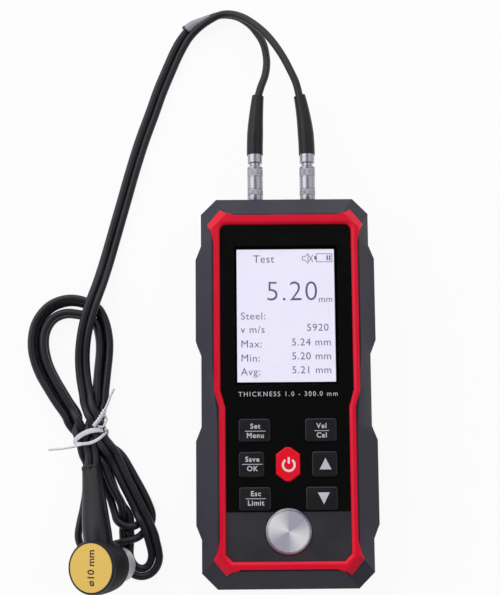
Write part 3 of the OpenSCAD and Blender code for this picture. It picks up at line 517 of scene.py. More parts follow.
def build_smudge():
    """Soft smudges of handling, which dull a gloss in places."""
    group, given, made = group_with(
        "handling_smudge",
        [("Clean", "NodeSocketFloat", 0.08), ("Dulled", "NodeSocketFloat", 0.25)],
        [("Roughness", "NodeSocketFloat")])
    both = arithmetic(group, "MULTIPLY", noise(group, 55.0, 3.0), noise(group, 600.0, 2.0))
    gloss = spread(group, both, given.outputs["Clean"], given.outputs["Dulled"], (0.15, 0.45))
    group.links.new(gloss, made.inputs["Roughness"])
    return group


smudge = build_smudge()
print("node groups:", [g.name for g in bpy.data.node_groups])

# %% [markdown]
# ## Finishes
# Colours are written as they look on screen, from 0 to 255, and turned into Blender's linear values.
# Most finishes are the grain group with their own colour, gloss and depth, so one helper makes them.

# %% Helpers for finishes


def tint(red, green, blue):
    """A screen colour from 0 to 255 as a linear colour with alpha."""
    linear = []
    for part in (red, green, blue):
        share = part / 255
        linear.append(share / 12.92 if share <= 0.04045 else ((share + 0.055) / 1.055) ** 2.4)
    return (*linear, 1.0)


def place_group(material, group, **values):
    """Puts a group in a material and sets its named inputs."""
    placed = material.node_tree.nodes.new("ShaderNodeGroup")
    placed.node_tree = group
    for label, value in values.items():
        placed.inputs[label.replace("_", " ")].default_value = value
    return placed


finishes = []


def new_finish(name):
    """A fresh material and its Principled shader."""
    finishes.append(name)
    material = bpy.data.materials.new(name)
    material.use_nodes = True
    return material, material.node_tree.nodes["Principled BSDF"]


def wear(material, made, shader):
    """Links a group's colour, roughness and normal to a material's shader."""
    for label, target in (("Colour", "Base Color"), ("Roughness", "Roughness"), ("Normal", "Normal")):
        material.node_tree.links.new(made.outputs[label], shader.inputs[target])


def grained(name, colour, fleck, rough, scale=2500.0, depth=0.1, metallic=0.0):
    """A finish with grain; rough is its lowest and highest roughness."""
    material, shader = new_finish(name)
    made = place_group(material, grain, Colour=colour, Fleck=fleck, Scale=scale, Depth=depth,
                       Rough_low=rough[0], Rough_high=rough[1])
    wear(material, made, shader)
    shader.inputs["Metallic"].default_value = metallic
    return material


print("black, mid grey and white:", [round(tint(v, v, v)[0], 3) for v in (0, 128, 255)])

# %% [markdown]
# ## Finishes that show
# The housing is a dark moulding with a fine texture, its frame and power key are red, and the keys, leads
# and boots are black rubber. Real rubber and dull plastic mirror less than Blender's plain setting, so a
# lower specular level keeps their black deep under a white sky.

# %% Outer finishes
housing_plastic = grained("housing_plastic", tint(47, 44, 56), tint(56, 53, 66), (0.42, 0.56), 3200.0, 0.25)
frame_red = grained("frame_red", tint(226, 0, 43), tint(233, 2, 49), (0.36, 0.46), 2600.0, 0.06)
key_rubber = grained("key_rubber", tint(16, 15, 19), tint(23, 22, 27), (0.34, 0.44), 3000.0, 0.2)
power_rubber = grained("power_rubber", tint(240, 2, 34), tint(246, 8, 42), (0.4, 0.52), 3000.0, 0.12)
lead_rubber = grained("lead_rubber", tint(26, 24, 32), tint(36, 34, 43), (0.34, 0.48), 1800.0, 0.12)
boot_rubber = grained("boot_rubber", tint(19, 17, 23), tint(28, 26, 33), (0.3, 0.42), 1500.0, 0.1)
sleeve_film = grained("sleeve_film", tint(146, 144, 155), tint(164, 162, 173), (0.3, 0.42), 1200.0, 0.1)
tie_plastic = grained("tie_plastic", tint(222, 221, 233), tint(234, 233, 243), (0.4, 0.55), 1600.0, 0.2)
barrel_black = grained("barrel_black", tint(30, 29, 34), tint(48, 46, 54), (0.3, 0.42), 4000.0, 0.1, 0.5)
print_pale = grained("print_pale", tint(200, 200, 212), tint(214, 214, 225), (0.5, 0.6), 4000.0, 0.05)
print_bright = grained("print_bright", tint(244, 226, 230), tint(250, 236, 240), (0.5, 0.6), 4000.0, 0.05)
print_black = grained("print_black", tint(12, 10, 10), tint(22, 20, 20), (0.4, 0.5), 4000.0, 0.05)
screen_ink = grained("screen_ink", tint(122, 114, 156), tint(140, 132, 172), (0.5, 0.6), 4000.0, 0.02)
for dull, level in ((frame_red, 0.3), (power_rubber, 0.25), (key_rubber, 0.4), (housing_plastic, 0.3),
                    (lead_rubber, 0.38), (boot_rubber, 0.32)):
    dull.node_tree.nodes["Principled BSDF"].inputs["Specular IOR Level"].default_value = level
print("finishes so far:", len(finishes))

# %% [markdown]
# ## Finishes inside
# The parts inside are dressed as well, so that an opened gauge or probe looks right: a green board, pale
# silicone, plated springs, zinc screws, and the clear blocks, cork and ceramic of the probe.

# %% Inner finishes
board_green = grained("board_green", tint(24, 84, 44), tint(36, 104, 58), (0.3, 0.45), 2000.0, 0.15)
black_plastic = grained("black_plastic", tint(34, 34, 35), tint(46, 46, 48), (0.45, 0.6), 2500.0, 0.2)
silicone = grained("silicone", tint(206, 206, 206), tint(222, 222, 222), (0.5, 0.65), 1500.0, 0.1)
insulator = grained("insulator", tint(232, 232, 230), tint(242, 242, 240), (0.35, 0.5), 1500.0, 0.1)
battery_sleeve = grained("battery_sleeve", tint(76, 104, 60), tint(92, 120, 74), (0.25, 0.35), 1500.0, 0.05)
contact_metal = grained("contact_metal", tint(206, 186, 138), tint(222, 204, 160), (0.25, 0.4), 2500.0,
                        0.1, 1.0)
screw_zinc = grained("screw_zinc", tint(172, 172, 174), tint(192, 192, 194), (0.28, 0.42), 3000.0,
                     0.15, 1.0)
delay_acrylic = grained("delay_acrylic", tint(206, 202, 192), tint(218, 214, 206), (0.2, 0.3), 1500.0, 0.05)
cork_sheet = grained("cork_sheet", tint(168, 124, 82), tint(128, 88, 54), (0.7, 0.9), 1400.0, 0.5)
crystal_ceramic = grained("crystal_ceramic", tint(220, 208, 176), tint(230, 220, 192), (0.35, 0.5),
                          2000.0, 0.1)
backing_resin = grained("backing_resin", tint(84, 86, 88), tint(104, 106, 108), (0.5, 0.7), 1800.0, 0.3)
print("finishes with those inside:", len(finishes))

# %% [markdown]
# ## Gloss panel, display and window
# The panel is one film: gloss black round the screen and keys, and satin grey below a line just under
# the lowest keys. Object Y tells the two apart. The display has a painted glow: its emission stands in for
# the lamp light that the window in front of it holds back, and the window is plain clear glass.

# %% Panel, display and window finishes
PANEL_LINE = -47.6


def build_panel_film():
    """The printed front film, gloss above a line and satin below it."""
    material, shader = new_finish("panel_film")
    tree = material.node_tree
    below = arithmetic(tree, "LESS_THAN", part_of(tree, own_place(tree), "Y"), PANEL_LINE * MM)
    satin = place_group(material, grain, Colour=tint(37, 35, 43), Fleck=tint(46, 44, 53), Scale=3000.0,
                        Depth=0.2, Rough_low=0.42, Rough_high=0.55)
    gloss = place_group(material, smudge, Clean=0.12, Dulled=0.2)
    tone = mix_colour(tree, below, tint(8, 8, 9), satin.outputs["Colour"])
    rough = spread(tree, below, gloss.outputs["Roughness"], satin.outputs["Roughness"], (0.0, 1.0))
    tree.links.new(tone, shader.inputs["Base Color"])
    tree.links.new(rough, shader.inputs["Roughness"])
    return material


def build_display_with_painted_glow():
    """A pale display with a painted glow: its emission stands in for lamp light through the window."""
    material, shader = new_finish("display_pale")
    made = place_group(material, grain, Colour=tint(233, 229, 250), Fleck=tint(237, 233, 252), Scale=900.0,
                       Depth=0.0, Rough_low=0.5, Rough_high=0.6)
    link = material.node_tree.links.new
    # Painted glow: the emission carries the display's pale colour in place of lamp light through the
    # window.
    link(made.outputs["Colour"], shader.inputs["Emission Color"])
    link(made.outputs["Roughness"], shader.inputs["Roughness"])
    shader.inputs["Base Color"].default_value = tint(120, 119, 126)
    shader.inputs["Emission Strength"].default_value = 0.9
    return material


def build_window():
    """Clear window with an antireflection coat and a faint smudge in its gloss."""
    material, shader = new_finish("window_clear")
    made = place_group(material, smudge, Clean=0.02, Dulled=0.06)
    material.node_tree.links.new(made.outputs["Roughness"], shader.inputs["Roughness"])
    shader.inputs["Base Color"].default_value = (1.0, 1.0, 1.0, 1.0)
    shader.inputs["Transmission Weight"].default_value = 1.0
    shader.inputs["IOR"].default_value = 1.3
    return material


panel_film = build_panel_film()
display_pale = build_display_with_painted_glow()
window_clear = build_window()
print("panel changes finish at y =", PANEL_LINE, "mm")

# %% [markdown]
# ## Worked metal
# The steel test disc is faced on a lathe, so its lines run out from the centre as the light plays on
# them; the plugs are turned along their axis; the label is brushed foil; the tip is a turned sleeve.
# A Mapping node brings each piece's own centre or axis to the coordinate that the lines follow.

# %% Helpers for worked metal
PROBE_PLACE = Vector((-67.5, -68.7, 2.958))
PROBE_LEAN = math.radians(-25)
probe_matrix = Matrix.Translation(PROBE_PLACE * MM) @ Matrix.Rotation(PROBE_LEAN, 4, "Y")
disc_low, disc_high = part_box("test_block")
disc_centre = (disc_low + disc_high) / 2
disc_r = (disc_high.x - disc_low.x) / 2


def mapped(tree, place, turn=(0.0, 0.0, 0.0)):
    """Object coordinates brought to a piece's own centre and turn."""
    mapping = tree.nodes.new("ShaderNodeMapping")
    mapping.vector_type = "TEXTURE"
    mapping.inputs["Location"].default_value = place
    mapping.inputs["Rotation"].default_value = turn
    tree.links.new(own_place(tree), mapping.inputs["Vector"])
    return mapping.outputs["Vector"]


def in_probe(tree, axis):
    """One coordinate in the probe's own leaning frame."""
    return part_of(tree, mapped(tree, PROBE_PLACE * MM, (0.0, PROBE_LEAN, 0.0)), axis)


def lined(along, dark, light, rough, scale, depth, material, shader, metallic=1.0):
    """Connects the line group along a value."""
    made = place_group(material, lines, Scale=scale, Dark=dark, Light=light, Rough_low=rough[0],
                       Rough_high=rough[1], Depth=depth)
    material.node_tree.links.new(along, made.inputs["Along"])
    wear(material, made, shader)
    shader.inputs["Metallic"].default_value = metallic
    return material


print("test disc radius in mm:", round(disc_r / MM, 2))

# %% [markdown]
# ## Steel disc
# On a faced disc light gathers in two bright fans with two dark ones between them; here the fans are
# painted highlight and painted shade in the base colour. A radial gradient gives the angle, the cosine of
# twice that angle gives the painted fans, and the distance from the middle tells the mirror-like bevel at
# the rim from the flat face.

# %% Steel disc
PAINTED_FAN_TURN = 1.05
BEVEL_FROM = 0.91 * disc_r
BEVEL_TO = 0.93 * disc_r


def build_disc_steel():
    """Faced steel: fine lines that run out from the centre, fans of painted highlight and painted shade,
    and a bright bevel.
    """
    material, shader = new_finish("disc_steel")
    tree = material.node_tree
    own = mapped(tree, disc_centre)
    sweep = tree.nodes.new("ShaderNodeTexGradient")
    sweep.gradient_type = "RADIAL"
    tree.links.new(own, sweep.inputs["Vector"])
    lined(sweep.outputs["Fac"], tint(168, 165, 184), tint(196, 193, 210), (0.3, 0.42), 90.0, 0.15,
          material, shader)
    # Painted highlight and painted shade: a cosine of twice the angle mixes the lined colour towards near
    # white in two fans.
    around = arithmetic(tree, "MULTIPLY", sweep.outputs["Fac"], 2 * math.tau)
    painted_fans = arithmetic(tree, "COSINE", arithmetic(tree, "ADD", around, PAINTED_FAN_TURN))
    part = spread(tree, painted_fans, 0.0, 0.9, (-0.7, 1.0))
    worked = shader.inputs["Base Color"].links[0].from_socket
    tree.links.new(mix_colour(tree, part, worked, tint(254, 253, 255)), shader.inputs["Base Color"])
    flat = tree.nodes.new("ShaderNodeCombineXYZ")
    tree.links.new(part_of(tree, own, "X"), flat.inputs["X"])
    tree.links.new(part_of(tree, own, "Y"), flat.inputs["Y"])
    reach = tree.nodes.new("ShaderNodeVectorMath")
    reach.operation = "LENGTH"
    tree.links.new(flat.outputs["Vector"], reach.inputs[0])
    bevel = spread(tree, reach.outputs["Value"], 0.15, 1.0, (BEVEL_FROM, BEVEL_TO))
    tree.links.new(bevel, shader.inputs["Metallic"])
    return material


disc_steel = build_disc_steel()
print("nodes in the steel:", len(disc_steel.node_tree.nodes))

# %% [markdown]
# ## Plating, foil and tip
# The plugs are satin nickel over turned brass, the label on the probe is gold foil that was brushed, and
# the contact tip is a pale turned sleeve. All three use the line group along a coordinate of their own.

# %% Plating, foil and tip


def build_nickel():
    """Satin nickel plate on turned metal."""
    material, shader = new_finish("satin_nickel")
    along = part_of(material.node_tree, own_place(material.node_tree), "Y")
    return lined(along, tint(158, 155, 166), tint(192, 189, 200), (0.22, 0.34), 6000.0, 0.06,
                 material, shader, 0.85)


def build_label_foil():
    """Gold foil, brushed along its length."""
    material, shader = new_finish("label_foil")
    along = in_probe(material.node_tree, "Y")
    return lined(along, tint(230, 188, 82), tint(243, 206, 110), (0.36, 0.48), 5000.0, 0.08,
                 material, shader, 0.25)


def build_tip_metal():
    """Pale turned sleeve of the contact tip."""
    material, shader = new_finish("tip_pale")
    along = in_probe(material.node_tree, "Z")
    return lined(along, tint(214, 212, 221), tint(232, 231, 238), (0.34, 0.46), 5000.0, 0.12,
                 material, shader, 0.15)


satin_nickel = build_nickel()
label_foil = build_label_foil()
tip_pale = build_tip_metal()
print("worked metals:", disc_steel.name, satin_nickel.name, label_foil.name, tip_pale.name)

# %% [markdown]
# ## Dressing the solids
# A solid whose shape is right keeps its place and gets its finish. Those inside the gauge are dressed
# too, so that an opened gauge looks right.

# %% Finishes on the solids
DRESS = {
    "rear_housing": housing_plastic, "front_housing": housing_plastic, "battery_door": housing_plastic,
    "red_bezel": frame_red, "front_panel": panel_film, "display_window": window_clear,
    "lcd_module": display_pale, "keypad_mat": silicone, "key_power": power_rubber,
    "main_board": board_green, "buzzer": black_plastic, "test_block": disc_steel,
    "battery_1": battery_sleeve, "battery_2": battery_sleeve, "battery_3": battery_sleeve,
    "contact_springs": contact_metal, "contact_plates": contact_metal,
    "battery_door_screws": screw_zinc, "housing_screws": screw_zinc, "probe_barrel": barrel_black,
    "probe_label": label_foil, "probe_sleeve": tip_pale, "probe_delay_blocks": delay_acrylic,
    "probe_barrier": cork_sheet, "probe_crystals": crystal_ceramic, "probe_backing": backing_resin,
    "cable_left": lead_rubber, "cable_right": lead_rubber, "cable_hank": lead_rubber,
    "cable_collar": sleeve_film, "twist_tie": tie_plastic, "probe_boot": boot_rubber,
}
RUBBER_KEYS = ("menu", "cal", "save", "up", "back", "down")
for key in RUBBER_KEYS:
    DRESS["key_" + key] = key_rubber
for side in ("left", "right"):
    DRESS["socket_" + side] = satin_nickel
    DRESS["socket_insert_" + side] = insulator
    DRESS["plug_sleeve_" + side] = satin_nickel
    DRESS["plug_body_" + side] = satin_nickel
    DRESS["plug_nut_" + side] = satin_nickel
    DRESS["plug_boot_" + side] = boot_rubber
for name, node in nodes.items():
    node.data.materials.clear()
    node.data.materials.append(DRESS[name])
for lead in (left_lead, right_lead):
    lead.data.materials.append(lead_rubber)
print("dressed solids:", len(DRESS))

# %% [markdown]
# ## From a mesh to a piece
# Every piece that follows starts as a bmesh. Two helpers turn it into a mesh with its faces outwards, and
# into an object that has a finish and rides on a body of the CAD model.

# %% Helpers for pieces


def finish_piece(name, mesh, material, body, smooth=None):
    """An object from a mesh, with a finish, riding on a CAD body."""
    if smooth is not None:
        mesh.shade_smooth()
        mesh.set_sharp_from_angle(angle=math.radians(smooth))
    mesh.materials.clear()
    mesh.materials.append(material)
    piece = bpy.data.objects.new(name, mesh)
    scene.collection.objects.link(piece)
    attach(piece, body)
    return piece


def mesh_of(name, bm, outward=True):
    """A mesh from a bmesh, with its faces turned outwards."""
    if outward:
        bmesh.ops.recalc_face_normals(bm, faces=bm.faces[:])
    mesh = bpy.data.meshes.new(name)
    bm.to_mesh(mesh)
    bm.free()
    return mesh


# %% [markdown]
# ## Softer edges
# A moulding never has a razor edge, and the thin bright line along a rounded edge tells the eye that it
# is plastic. A copy of the solid is merged, its flat areas are joined, and its sharp edges are bevelled.
# The red frame also has a broad round along the inside of its opening, which is cut first. The copy then
# stands for the solid. Inside the shells the edges stay sharp, because no one sees them.

# %% Bevelled copies
SHARP = 24.0
RIM_SEGMENTS = 5
# The outer skin of the housing in mm: its side and end walls, its top, and the slope below the top.
SIDE_WALL = 32.2
END_WALL = 75.7
TOP = 30.9
BOTTOM = 0.05
SLOPE_FROM = 22.5
SLOPE_SIDE = 25.5
SLOPE_END = 66.5


def sharp_edges(bm):
    """Edges whose faces meet at more than the sharp angle, in degrees."""
    limit = math.radians(SHARP)
    return [e for e in bm.edges if len(e.link_faces) == 2 and e.calc_face_angle() > limit]


def round_off(bm, edges, width, segments):
    """Rounds edges over a width in mm."""
    bmesh.ops.bevel(bm, geom=edges, offset=width * MM, offset_type="OFFSET", segments=segments,
                    profile=0.5, affect="EDGES", material=-1, clamp_overlap=True)


def rims_the_opening(edge):
    """An edge between a flat top and a wall that looks towards the middle."""
    walls = [f for f in edge.link_faces if f.normal.z < 0.9]
    middle = (edge.verts[0].co + edge.verts[1].co) / 2
    return len(walls) == 1 and walls[0].normal.xy.dot(middle.xy) < 0 and walls[0].normal.z > 0.1


def soften(node, width, segments=2, only=None, rim=None):
    """Puts a copy with bevelled edges in a solid's place; rim is the width of a broad inner round."""
    bm = bmesh.new()
    bm.from_mesh(nodes[node].data)
    bmesh.ops.remove_doubles(bm, verts=bm.verts[:], dist=0.002 * MM)
    bmesh.ops.dissolve_limit(bm, angle_limit=math.radians(1.0), verts=bm.verts[:], edges=bm.edges[:])
    if rim is not None:
        round_off(bm, [e for e in sharp_edges(bm) if rims_the_opening(e)], rim, RIM_SEGMENTS)
    edges = sharp_edges(bm)
    if only is not None:
        edges = [e for e in edges if all(only(v.co / MM) for v in e.verts)]
    round_off(bm, edges, width, segments)
    piece = finish_piece("soft_" + node, mesh_of("soft_" + node, bm), DRESS[node], nodes[node]["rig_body"],
                         40.0)
    shade = piece.modifiers.new("even_shading", "WEIGHTED_NORMAL")
    shade.keep_sharp = True
    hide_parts(node)


def outside(place):
    """Whether a place in mm is on the outer skin of a shell, and not in the room inside it."""
    x, y, z = abs(place.x), abs(place.y), place.z
    on_walls = x > SIDE_WALL or y > END_WALL or z > TOP or z < BOTTOM
    return on_walls or (z > SLOPE_FROM and (x > SLOPE_SIDE or y > SLOPE_END))


soften("front_housing", 0.45, only=outside)
soften("rear_housing", 0.45, only=outside)
soften("red_bezel", 0.3, rim=0.95)
for key in RUBBER_KEYS:
    soften("key_" + key, 0.32, 3)
soften("key_power", 0.18)

# %% [markdown]
# ## Bend reliefs
# Each lead leaves its plug through a tapered rubber boot, and both enter the probe through a fat one.
# Rings set along a path and bridged make a smooth sleeve, which can bend and taper as it goes. A short
# shrunk marker sleeve on the left lead is made the same way, with a dark rim at its wide end.

# %% Boots
BOOT_LEN = 25.2
BOOT_R = 3.35
BOOT_TAPER = 0.9
TAPER_FROM = 0.36
BOOT_STEPS = 24
PLUG_Z = 16.5


def sleeve_along(name, path, sizes, sides, material):
    """A smooth sleeve through rings; each size is a half width and a half height in mm."""
    bm = bmesh.new()
    places = [Vector(p) * MM for p in path]
    last = len(places) - 1
    rings = []
    for i, (place, size) in enumerate(zip(places, sizes)):
        ahead = places[min(i + 1, last)] - places[max(i - 1, 0)]
        turn = ahead.to_track_quat("Z", "Y").to_matrix().to_4x4()
        ring = bmesh.ops.create_circle(bm, cap_ends=False, segments=sides, radius=1.0)["verts"]
        scaled = Matrix.Diagonal((size[0] * MM, size[1] * MM, 1.0, 1.0))
        bmesh.ops.transform(bm, matrix=Matrix.Translation(place) @ turn @ scaled, verts=ring)
        rings.append(list({e for v in ring for e in v.link_edges}))
    for first, second in zip(rings, rings[1:]):
        bmesh.ops.bridge_loops(bm, edges=first + second)
    bmesh.ops.holes_fill(bm, edges=rings[0] + rings[-1], sides=sides)
    return finish_piece(name, mesh_of(name, bm), material, "gauge", 50.0)


def plug_boot(side, bend):
    """A plug's boot: a straight root, a long taper and a rim at the tip."""
    low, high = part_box("plug_nut_" + side)
    start = high.y / MM
    axis_x = (low.x + high.x) / 2 / MM
    path = []
    sizes = []
    for step in range(BOOT_STEPS + 1):
        t = step / BOOT_STEPS
        taper = max(0.0, t - TAPER_FROM) / (1 - TAPER_FROM)
        radius = BOOT_R - BOOT_TAPER * taper ** 1.1
        path.append((axis_x + bend * t * t, start + BOOT_LEN * t, PLUG_Z))
        sizes.append((radius, radius))
    path.append((axis_x + bend * 1.01, start + BOOT_LEN + 0.1, PLUG_Z))
    sizes.append((1.7, 1.7))
    boot = sleeve_along("boot_on_plug_" + side, path, sizes, 28, boot_rubber)
    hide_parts("plug_boot_" + side)
    return boot


left_boot = plug_boot("left", 1.5)
right_boot = plug_boot("right", -2.7)

boot_path = [(-74.6, -61.2, 17.6), (-75.4, -56.2, 17.2), (-76.2, -51.2, 15.9), (-77, -45.2, 13.4),
             (-77.8, -39.2, 10.6), (-78.5, -33.7, 8.2), (-78.9, -30.6, 7), (-78.95, -30.2, 6.9),
             (-79, -29.3, 6.6), (-79.02, -29, 6.55)]
boot_sizes = [(5.7, 5.6), (5.8, 5.6), (5.6, 5.2), (5.1, 4.5), (4.6, 3.8), (4.2, 3.3), (4.02, 3.0),
              (4.25, 3.2), (4.2, 3.1), (3.6, 2.5)]
big_boot = sleeve_along("boot_on_probe", boot_path, boot_sizes, 32, boot_rubber)
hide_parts("probe_boot")

MARKER_AT = Vector((-30.2, 162.6, 1.8))
marker_radii = [1.75, 1.85, 1.95, 2.05, 2.15, 2.25, 2.35]
marker_sizes = [(r, r) for r in marker_radii]
marker_first = min(range(80), key=lambda i: (lead_left[i] - MARKER_AT).length)
marker_path = [Vector((p.x, p.y, max(p.z, r + 0.05)))
               for p, r in zip(lead_left[marker_first:marker_first + len(marker_radii)], marker_radii)]
marker = sleeve_along("marker_on_left_lead", marker_path, marker_sizes, 24, sleeve_film)
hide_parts("cable_collar")
marker_end, before_end = marker_path[-1], marker_path[-2]
marker_rim = [marker_end.lerp(before_end, 0.25), marker_end + (marker_end - before_end) * 0.1]
rim_sizes = [(2.62, 2.32), (2.5, 2.25)]
marker_edge = sleeve_along("marker_edge", marker_rim, rim_sizes, 24, boot_rubber)
print("boots:", left_boot.name, right_boot.name, big_boot.name)

# %% [markdown]
# ## Knurled barrel
# The barrel is gripped by a fine diamond knurl. A profile is spun into a grid; poking each face and
# dissolving the old grid lines turns the squares into diamonds; poking those lifts each to a low point.
# The plugs have the same knurl, so one helper makes both.

# %% Knurl
BARREL_R = 10.5
TIP_LEN = 8.5
BARREL_LEN = 14.5
# Shares of the barrel's length where its neck ends and where it reaches its full width, and by how many
# mm it is slimmer at its root and at the end of the neck.
NECK_END = 1 / 3
FULL_FROM = 0.65
ROOT_LESS = 1.2
NECK_LESS = 0.4


def barrel_radius(height):
    """Radius of the barrel at a height above the contact face, in mm."""
    share = (height - TIP_LEN) / BARREL_LEN
    if share < NECK_END:
        return BARREL_R - ROOT_LESS + (ROOT_LESS - NECK_LESS) * share / NECK_END
    return BARREL_R - NECK_LESS * max(0.0, FULL_FROM - share) / (FULL_FROM - NECK_END)


def spun(profile, steps, closed=False):
    """A profile of radius and height in mm, spun round the Z axis."""
    bm = bmesh.new()
    chain = [bm.verts.new(Vector((radius, 0, height)) * MM) for radius, height in profile]
    onward = chain[1:] + chain[:1] if closed else chain[1:]
    for first, second in zip(chain, onward):
        bm.edges.new((first, second))
    bmesh.ops.spin(bm, geom=bm.verts[:] + bm.edges[:], axis=(0, 0, 1), cent=(0, 0, 0), dvec=(0, 0, 0),
                   angle=math.tau, steps=steps, use_merge=True, use_duplicate=False)
    bmesh.ops.remove_doubles(bm, verts=bm.verts[:], dist=0.001 * MM)
    return bm


def diamond_skin(name, profile, steps, lift, matrix, material, body):
    """A skin of raised diamonds round a local Z axis; steps are the diamonds round it, lift is in mm."""
    bm = spun(profile, steps)
    bmesh.ops.recalc_face_normals(bm, faces=bm.faces[:])
    if sum(f.normal.dot(f.calc_center_median() * Vector((1, 1, 0))) for f in bm.faces) < 0:
        bmesh.ops.reverse_faces(bm, faces=bm.faces[:])
    grid = [e for e in bm.edges if len(e.link_faces) == 2]
    bmesh.ops.poke(bm, faces=bm.faces[:], offset=0.0)
    bmesh.ops.dissolve_edges(bm, edges=grid, use_verts=False, use_face_split=False)
    diamonds = [f for f in bm.faces if len(f.verts) == 4]
    bmesh.ops.poke(bm, faces=diamonds, offset=lift * MM)
    bmesh.ops.transform(bm, matrix=matrix, verts=bm.verts[:])
    return finish_piece(name, mesh_of(name, bm, False), material, body)


BARREL_ROWS = 12
barrel_profile = []
for row in range(BARREL_ROWS + 1):
    height = TIP_LEN + 0.9 + (BARREL_LEN - 1.9) * row / BARREL_ROWS
    sink = 0.05 if row in (0, BARREL_ROWS) else -0.02
    barrel_profile.append((barrel_radius(height) - sink, height))
knurl = diamond_skin("knurl_on_barrel", barrel_profile, 54, 0.3, probe_matrix, barrel_black, "gauge")
print("knurl faces:", len(knurl.data.polygons))

# %% [markdown]
# ## Latch sleeves of the plugs
# Each plug is pulled by a sleeve with two knurled bands, a plain waist between them and a plain ring at
# the root. The plain part is a spun profile, and the bands are the same diamond skin, only finer. The
# sleeve slides on its plug, so all its pieces ride on the latch.

# %% Sleeves
SLEEVE_PROFILE = [(2.3, 15.2), (2.95, 15.2), (3.2, 14.9), (3.2, 14.35), (3.0, 14.25), (3.0, 14.15),
                  (3.12, 14.05), (3.12, 10.9), (3.0, 10.8), (3.0, 10.6), (3.2, 10.5), (3.2, 5.8),
                  (3.0, 5.7), (3.0, 5.5), (3.12, 5.4), (3.12, 3.0), (3.0, 2.9), (3.0, 2.7),
                  (3.2, 2.6), (3.2, 0.2), (3.1, 0.05), (2.3, 0.05)]
BAND_R = 3.13


def latch_sleeve(side):
    """A sleeve with its plain parts and its two knurled bands."""
    low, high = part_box("plug_sleeve_" + side)
    body = nodes["plug_sleeve_" + side]["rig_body"]
    middle = (low + high) / 2
    place = Matrix.Translation((middle.x, low.y, middle.z)) @ Matrix.Rotation(math.radians(-90), 4, "X")
    bm = spun(SLEEVE_PROFILE, 48, closed=True)
    bmesh.ops.transform(bm, matrix=place, verts=bm.verts[:])
    mesh = mesh_of("sleeve_" + side, bm)
    sleeve = finish_piece("sleeve_" + side, mesh, satin_nickel, body, 35.0)
    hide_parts("plug_sleeve_" + side)
    pieces = [sleeve]
    for band, start, length, rows in (("near", 3.05, 2.3, 4), ("far", 10.95, 3.05, 5)):
        profile = [(BAND_R, start + length * row / rows) for row in range(rows + 1)]
        pieces.append(diamond_skin("knurl_" + band + "_" + side, profile, 36, 0.1, place, satin_nickel,
                                   body))
    return pieces


left_sleeve = latch_sleeve("left")
right_sleeve = latch_sleeve("right")
print("sleeve pieces:", len(left_sleeve) + len(right_sleeve))

# %% [markdown]
# ## Twist tie
# A white plastic-coated wire goes twice round the hank, is twisted to a knot on the right, and its two
# ends stand free. A flat curve with some extrusion is a strip, which is right for the flattened turns;
# round curves make the knot and the ends. Each is made a mesh before it is put in place.

# %% Tie
# One turn seen along the hank, in mm across it and above the floor.
TIE_CORNERS = [(-7, 2.9), (-5.6, 1), (0, 0.6), (5.6, 1), (7, 2.9), (6.9, 5.8), (4.9, 8), (0, 8.3),
               (-4.9, 8), (-6.9, 5.8)]
BOW_HALF_WIDTH = 7.4
WIRE_R = 0.5


def mesh_from_curve(data):
    """The mesh of a curve, after which the curve goes."""
    helper = bpy.data.objects.new(data.name, data)
    scene.collection.objects.link(helper)
    bpy.context.view_layer.update()
    shown = helper.evaluated_get(bpy.context.evaluated_depsgraph_get())
    mesh = bpy.data.meshes.new_from_object(shown)
    bpy.data.objects.remove(helper)
    return mesh


def tie_turn(name, half_width, bow):
    """One flattened turn round the hank: a rounded strip that bows along the hank in its middle."""
    data = bpy.data.curves.new(name, "CURVE")
    data.dimensions = "2D"
    data.fill_mode = "NONE"
    data.extrude = half_width * MM
    data.bevel_depth = 0.35 * MM
    data.bevel_resolution = 2
    spline = data.splines.new("BEZIER")
    spline.use_cyclic_u = True
    spline.bezier_points.add(len(TIE_CORNERS) - 1)
    for control, place in zip(spline.bezier_points, TIE_CORNERS):
        control.co = (place[0] * MM, place[1] * MM, 0)
        control.handle_left_type = "AUTO"
        control.handle_right_type = "AUTO"
    mesh = mesh_from_curve(data)
    for vert in mesh.vertices:
        vert.co.z -= bow * MM * (1 - (vert.co.x / (BOW_HALF_WIDTH * MM)) ** 2)
    stand = Matrix.Rotation(math.radians(90), 4, "X")
    turned = Matrix.Rotation(TIE_TURN, 4, "Z") @ stand
    mesh.transform(Matrix.Translation((*(TIE_AT * MM), 0)) @ turned)
    return finish_piece(name, mesh, tie_plastic, "gauge", 40.0)


def tie_wire(name, route, radius=WIRE_R):
    """A round run of the tie's wire."""
    data = round_curve(name, route, radius * MM, 4)
    return finish_piece(name, mesh_from_curve(data), tie_plastic, "gauge", 50.0)


def twisted(route, turns, radius, phase):
    """A strand that winds round a route."""
    places = [Vector(p) for p in route]
    wound = []
    steps = 8 * turns
    for step in range(steps + 1):
        share = step / steps * (len(places) - 1)
        i = min(int(share), len(places) - 2)
        middle = places[i].lerp(places[i + 1], share - i)
        ahead = (places[i + 1] - places[i]).normalized()
        side = ahead.cross(Vector((0, 0, 1))).normalized()
        up = side.cross(ahead)
        angle = math.tau * turns * step / steps + phase
        wound.append(middle + radius * (math.cos(angle) * side + math.sin(angle) * up))
    return wound


